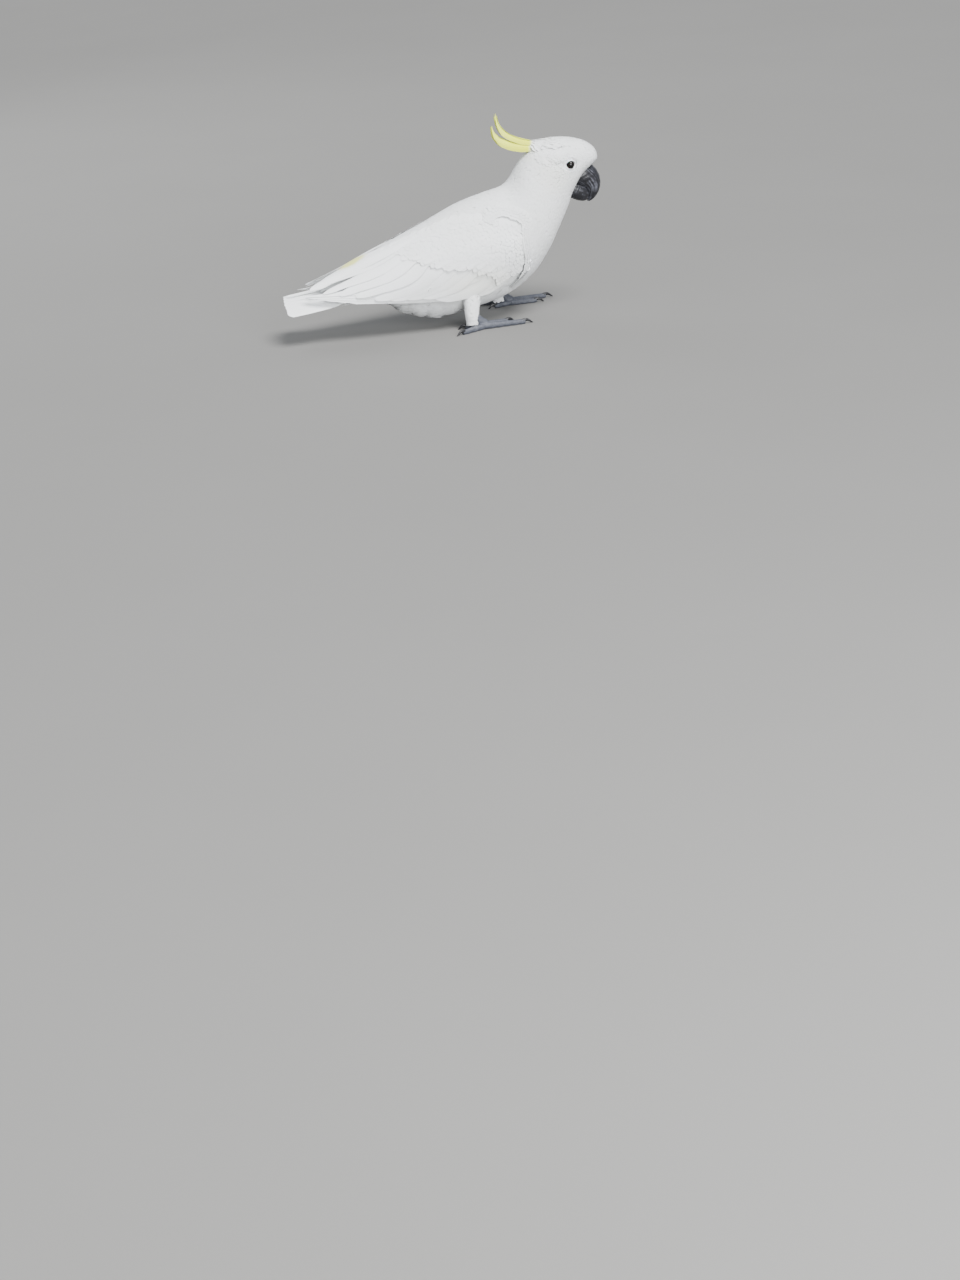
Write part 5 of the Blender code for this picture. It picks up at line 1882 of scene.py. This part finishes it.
def small_coverts():
    left, rows = folded(roots), 7
    clear = (above_line(left, GREATER_LINE) > 0.014) | (left[:, 0] > 0.066)
    chosen = np.flatnonzero((kinds == WING) & clear)
    points, count = left[chosen], len(chosen)
    wrist = np.linalg.norm((points - WRIST_PLACE) * [1, 0.5, 1], axis=1)
    steep = np.radians(np.interp(points[:, 0], *zip(*COVERT_STEEPNESS)))
    flow = np.stack([-np.cos(steep), np.zeros(count), -np.sin(steep)], axis=1)
    flow = unit(flow + rng.normal(0, 0.05, points.shape))
    from_wrist, lengths, halves = zip(*COVERT_SIZES)
    length = np.interp(wrist, from_wrist, lengths) * rng.uniform(0.88, 1.12, count)
    half = np.interp(wrist, from_wrist, halves) * rng.uniform(0.9, 1.1, count)
    centres, normals = march(wing_tree, points, flow, length, rows)
    normals = normals * np.sign(normals[..., 1:2])
    rise = COVERT_TIP - COVERT_RISE * (1 - np.linspace(0, 1, rows)) ** 1.6
    rise = rise + rng.uniform(-0.0001, 0.0001, (count, 1))
    centres = centres + normals * rise[..., None]
    flip = np.where(roots[chosen, 1] < 0, -1.0, 1.0)[:, None, None] * [0, 1, 0] + [1, 0, 1]
    widths = feather_widths(half, rows, root=0.40, end=0.80)
    made = blades(centres * flip, normals * flip, widths, 0.00010, 0.12, 0.02, 0.50, 7)
    return made, root_places[chosen]


covert_batches.append(small_coverts())
feather_piece("covert_feathers", covert_batches, vane_finish)

# %% [markdown]
# ## Tail
# Twelve tail feathers lie like a closed fan, the middle pair on top and each outer one a little
# lower. The fan is a shallow roof that is swung to one side and tilted, as when the bird turns.

# %% Tail
TAIL_SECTIONS = (  # x, z, half width, drop, thickness
    (-0.1180, 0.0735, 0.0270, 0.0130, 0.0080),
    (-0.1450, 0.0682, 0.0345, 0.0170, 0.0060),
    (-0.1750, 0.0638, 0.0360, 0.0150, 0.0045),
    (-0.2000, 0.0610, 0.0370, 0.0130, 0.0036),
    (-0.2130, 0.0596, 0.0370, 0.0112, 0.0030),
)
TAIL_SWING, TAIL_TILT = math.radians(3.5), math.radians(7.5)
TAIL_END_CORNER, TAIL_END_SLANT = 0.0030, 0.0070
TAIL_ROOT = TAIL_SECTIONS[0][0]
TAIL_LENGTH = TAIL_ROOT - TAIL_SECTIONS[-1][0]
tail_rows = curve_through(TAIL_SECTIONS, 60)
tail_reach = (TAIL_ROOT - tail_rows[:, 0]) / TAIL_LENGTH


def tail_place(reach, across):
    """A place on the upper face of the tail: reach 0 to 1 backwards, across -1 (right) to 1."""
    z, half, drop = (np.interp(reach, tail_reach, tail_rows[:, column]) for column in (1, 2, 3))
    z = z - np.minimum(reach, 0) * 0.020
    arm = -reach * TAIL_LENGTH
    arm = arm + (TAIL_END_CORNER * across**2 + TAIL_END_SLANT * across) * np.maximum(reach, 0) ** 3
    out = across * half
    top = z - drop * np.abs(across) ** 1.6 + out * math.tan(TAIL_TILT) * reach
    x = TAIL_ROOT + arm * math.cos(TAIL_SWING) + out * math.sin(TAIL_SWING)
    y = out * math.cos(TAIL_SWING) - arm * math.sin(TAIL_SWING)
    return np.stack([x, y, top], axis=-1)


TAIL_PLACES = (0.10, 0.27, 0.43, 0.58, 0.71, 0.82)  # of the pairs' tips, as parts of the half width
TAIL_HALF, TAIL_NARROWER = 0.0098, 0.0004
TAIL_SHORTER, TAIL_UNEVEN = 0.008, 0.006  # parts of the tail's length
TAIL_LAYER = 0.00042  # how much lower each pair lies


def tail_feathers():
    rows, centres, normals, tilts, widths = 22, [], [], [], []
    for rank, place in enumerate(TAIL_PLACES):
        for sign in (1, -1):
            across = sign * place
            end = 1.0 - TAIL_SHORTER * rank + rng.uniform(-TAIL_UNEVEN, TAIL_UNEVEN)
            reach = np.linspace(-0.25, end, rows)
            spread = across * (0.86 + 0.14 * np.clip(reach, 0, 1))
            line = tail_place(reach, spread)
            beside = tail_place(reach, spread + 0.03) - tail_place(reach, spread - 0.03)
            normal = unit(np.cross(beside, np.gradient(line, axis=0)))
            normal = normal * np.sign(normal[:, 2:3])
            centres.append(line + normal * (0.0002 - TAIL_LAYER * rank - (0.0002 if sign < 0 else 0)))
            normals.append(normal)
            tilts.append(0.0005 * -sign)
            widths.append(TAIL_HALF - TAIL_NARROWER * rank)
    centres, normals = np.array(centres), np.array(normals)
    wide = feather_widths(widths, rows, root=0.35, end=0.88, widest=0.5)
    made = blades(centres, normals, wide, VANE_DEPTH, 0.05, 0.004, 0.42, 11, tilts, frayed=0.01)
    return made, place_on_unwrap(centres[:, 0])


tail = feather_piece("tail_feathers", [tail_feathers()], vane_finish)
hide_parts("tail")

# %% [markdown]
# Tail coverts bridge the step from the rump to the tail, above and below: long soft feathers that
# start on the body and end over the first half of the tail.

# %% Tail coverts
COVERT_START = (-0.126, -0.070)  # x of the rearmost and the foremost root
COVERT_SPREAD, COVERT_REACH = (0.010, 0.024), (0.42, 0.06)  # there: half width, place of the tip
COVERT_BOW = 0.0025  # how far a covert's middle lies off the straight line


def bent_lines(starts, bow, ends, rows):
    """Curves (N, rows, 3) from starts to ends, pulled off the straight by bow."""
    t = np.linspace(0, 1, rows)[None, :, None]
    middle = (starts + ends) / 2 + bow
    line = starts[:, None] * (1 - t) ** 2 + middle[:, None] * 2 * t * (1 - t)
    return line + ends[:, None] * t**2


def tail_coverts(count, above_tail):
    rows, height = 12, 1.0 if above_tail else -1.0
    across = rng.uniform(-0.95, 0.95, count)
    start_x = rng.uniform(*COVERT_START, count)
    start_y = across * np.interp(start_x, COVERT_START, COVERT_SPREAD)
    starts = np.empty((count, 3))
    for index, (x, y) in enumerate(zip(start_x, start_y)):
        outside = Vector((x, y, 0.09 + 0.10 * height))
        place, _, _, _ = skin_tree.ray_cast(outside, Vector((0, 0, -height)))
        starts[index] = place if place is not None else (x, y, 0.08)
    reach = np.interp(start_x, COVERT_START, COVERT_REACH) + rng.uniform(-0.10, 0.10, count)
    ends = tail_place(reach, across * (0.75 if above_tail else 0.90))
    under = np.interp(reach, tail_reach, tail_rows[:, 4])
    ends[:, 2] += np.where(above_tail, 0.0022, -under - 0.0016)
    line = bent_lines(starts, [0, 0, COVERT_BOW * height], ends, rows)
    normals = unit(np.stack([np.zeros(count), across * 0.5, np.full(count, height)], axis=1))
    normals = np.repeat(normals[:, None], rows, axis=1)
    line = line + normals * (0.0004 * (start_x - start_x.min()) / 0.056)[:, None, None]
    widths = feather_widths(rng.uniform(0.0062, 0.0078, count), rows, root=0.4, end=0.72)
    return blades(line, normals, widths, 0.00010, 0.14, 0.05, 0.5, 7), place_on_unwrap(starts)


tail_batches = [tail_coverts(70, True), tail_coverts(110, False)]
feather_piece("tail_coverts", tail_batches, down_finish)

# %% [markdown]
# ## Crest
# The crest feathers grow from the crown, white and flat at first, then narrow, lemon yellow and
# curled forward at the tips. They stand in a longer upper group, a lower group and a few short
# ones at the nape, each feather folded a little along its shaft.

# %% Crest
CREST_GROUPS = (  # root, pull, bend, tip (x, z), half width, feathers on each side
    ((0.1420, 0.2222), (0.1120, 0.2285), (0.0832, 0.2372), (0.0850, 0.2652), 0.0046, 2),
    ((0.1400, 0.2190), (0.1085, 0.2205), (0.0788, 0.2292), (0.0780, 0.2512), 0.0058, 3),
    ((0.1360, 0.2170), (0.1120, 0.2180), (0.0920, 0.2225), (0.0825, 0.2410), 0.0044, 2),
)


CREST_ROWS = 26
CREST_SHORTER, LEFT_SHORTER = 0.05, 0.03  # parts of the curve that outer and left feathers lack
CREST_WANDER = 0.0007
CREST_OUT, CREST_OUT_STEP = 0.0011, 0.0019  # distance from the middle of each side's feathers
CREST_DOWN, MIDDLE_DOWN = 0.0010, 0.0006
CREST_LEAN, CREST_LEAN_STEP = 38, 14  # degrees that a feather leans outwards


def crest_line(pulls, t):
    """A curve in the side view that leaves the first pull and ends at the last."""
    line = pulls[0] * (1 - t) ** 3 + pulls[1] * 3 * t * (1 - t) ** 2
    return line + pulls[2] * 3 * t**2 * (1 - t) + pulls[3] * t**3


def crest_feathers():
    centres, normals, widths = [], [], []
    for group, (*places, half, sides) in enumerate(CREST_GROUPS):
        plans = [(sign, rank) for rank in range(sides) for sign in (1, -1)]
        if group < 2:
            plans.append((0, 0))
        for sign, rank in plans:
            end = 1 - CREST_SHORTER * rank - LEFT_SHORTER * (sign > 0)
            t = np.linspace(0, end, CREST_ROWS)[:, None]
            wander = rng.normal(0, CREST_WANDER, (4, 2)) * [[0.0], [0.4], [0.8], [1.0]]
            line = crest_line(np.array(places) + wander, t)
            ahead = unit(np.gradient(line, axis=0))
            above = np.stack([ahead[:, 1], np.zeros(CREST_ROWS), -ahead[:, 0]], axis=1)
            out = sign * (CREST_OUT + CREST_OUT_STEP * rank) * (1 + 0.5 * np.sin(math.pi * t[:, 0]))
            down = CREST_DOWN * rank + MIDDLE_DOWN * (sign == 0)
            lean = 0.0 if sign == 0 else math.radians(CREST_LEAN + CREST_LEAN_STEP * rank)
            centres.append(np.stack([line[:, 0], out, line[:, 1]], axis=1) - above * down)
            normals.append(unit(above * math.cos(lean) + [0.0, sign * math.sin(lean), 0.0]))
            widths.append(half)
    centres, normals = np.array(centres), np.array(normals)
    along = np.linspace(0, 1, CREST_ROWS)
    profile = 0.55 + 0.45 * smooth_step(0, 0.30, along)
    profile = profile * (1 - 0.66 * smooth_step(0.66, 1.0, along))
    wide = np.array(widths)[:, None] * profile
    made = blades(centres, normals, wide, 0.0003, 0.42, 0.02, 0.6, 7, frayed=0.03)
    return made, place_on_unwrap(centres[:, 0])


crest = feather_piece("crest_feathers", [crest_feathers()], crest_finish)
crest_nodes = [f"crest_feather_{pair}_{side}" for pair in (1, 2, 3) for side in ("left", "right")]
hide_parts(*crest_nodes)

# %% [markdown]
# Long white feathers lie back over the crown and cover the roots of the crest. They make the low
# ridge that runs from the forehead to the crest, with a groove below it on each side of the head.

# %% Crown
CROWN_COUNT = 150
CROWN_HALF, CROWN_BOW = 0.0030, 0.0018
CROWN_LENGTHS = ((0.132, 0.010), (0.150, 0.020), (0.175, 0.034), (0.200, 0.030))  # x, length
RIDGE = ((0.126, 0.2262), (0.135, 0.2272), (0.150, 0.2274), (0.170, 0.2272), (0.190, 0.2237))
RIDGE_FALL = 0.55  # from the middle outwards
CROWN_ROUND = 55  # how fast the feathers turn outwards, to a metre


def crown_feathers():
    choice = (np.abs(roots[:, 1]) < 0.0165) & (roots[:, 0] > 0.132) & (roots[:, 0] < 0.200)
    chosen = np.flatnonzero(choice & (root_normals[:, 2] > 0.55) & (kinds == BODY))
    chosen = rng.permutation(chosen)[:CROWN_COUNT]
    starts, rows, count = roots[chosen], 12, len(chosen)
    reach = np.interp(starts[:, 0], *zip(*CROWN_LENGTHS))
    end_x = np.maximum(starts[:, 0] - reach, rng.uniform(0.1265, 0.1330, count))
    share = smooth_step(0.160, 0.128, end_x)
    narrow = starts[:, 1] * (1 - 0.50 * share)
    ridge_z = np.interp(end_x, *zip(*RIDGE))
    end_z = ridge_z - np.abs(narrow) * RIDGE_FALL - share * rng.uniform(0, 0.0035, count)
    ends = np.stack([end_x, narrow, end_z], axis=1)
    line = bent_lines(starts, [0, 0, CROWN_BOW], ends, rows)
    normals = unit(np.stack([np.zeros(count), starts[:, 1] * CROWN_ROUND, np.ones(count)], axis=1))
    normals = np.repeat(normals[:, None], rows, axis=1)
    widths = feather_widths(np.full(count, CROWN_HALF), rows, root=0.4, end=0.65)
    return blades(line, normals, widths, 0.00010, 0.16, 0.04, 0.5, 6), root_places[chosen]


feather_piece("crown_feathers", [crown_feathers()], down_finish)
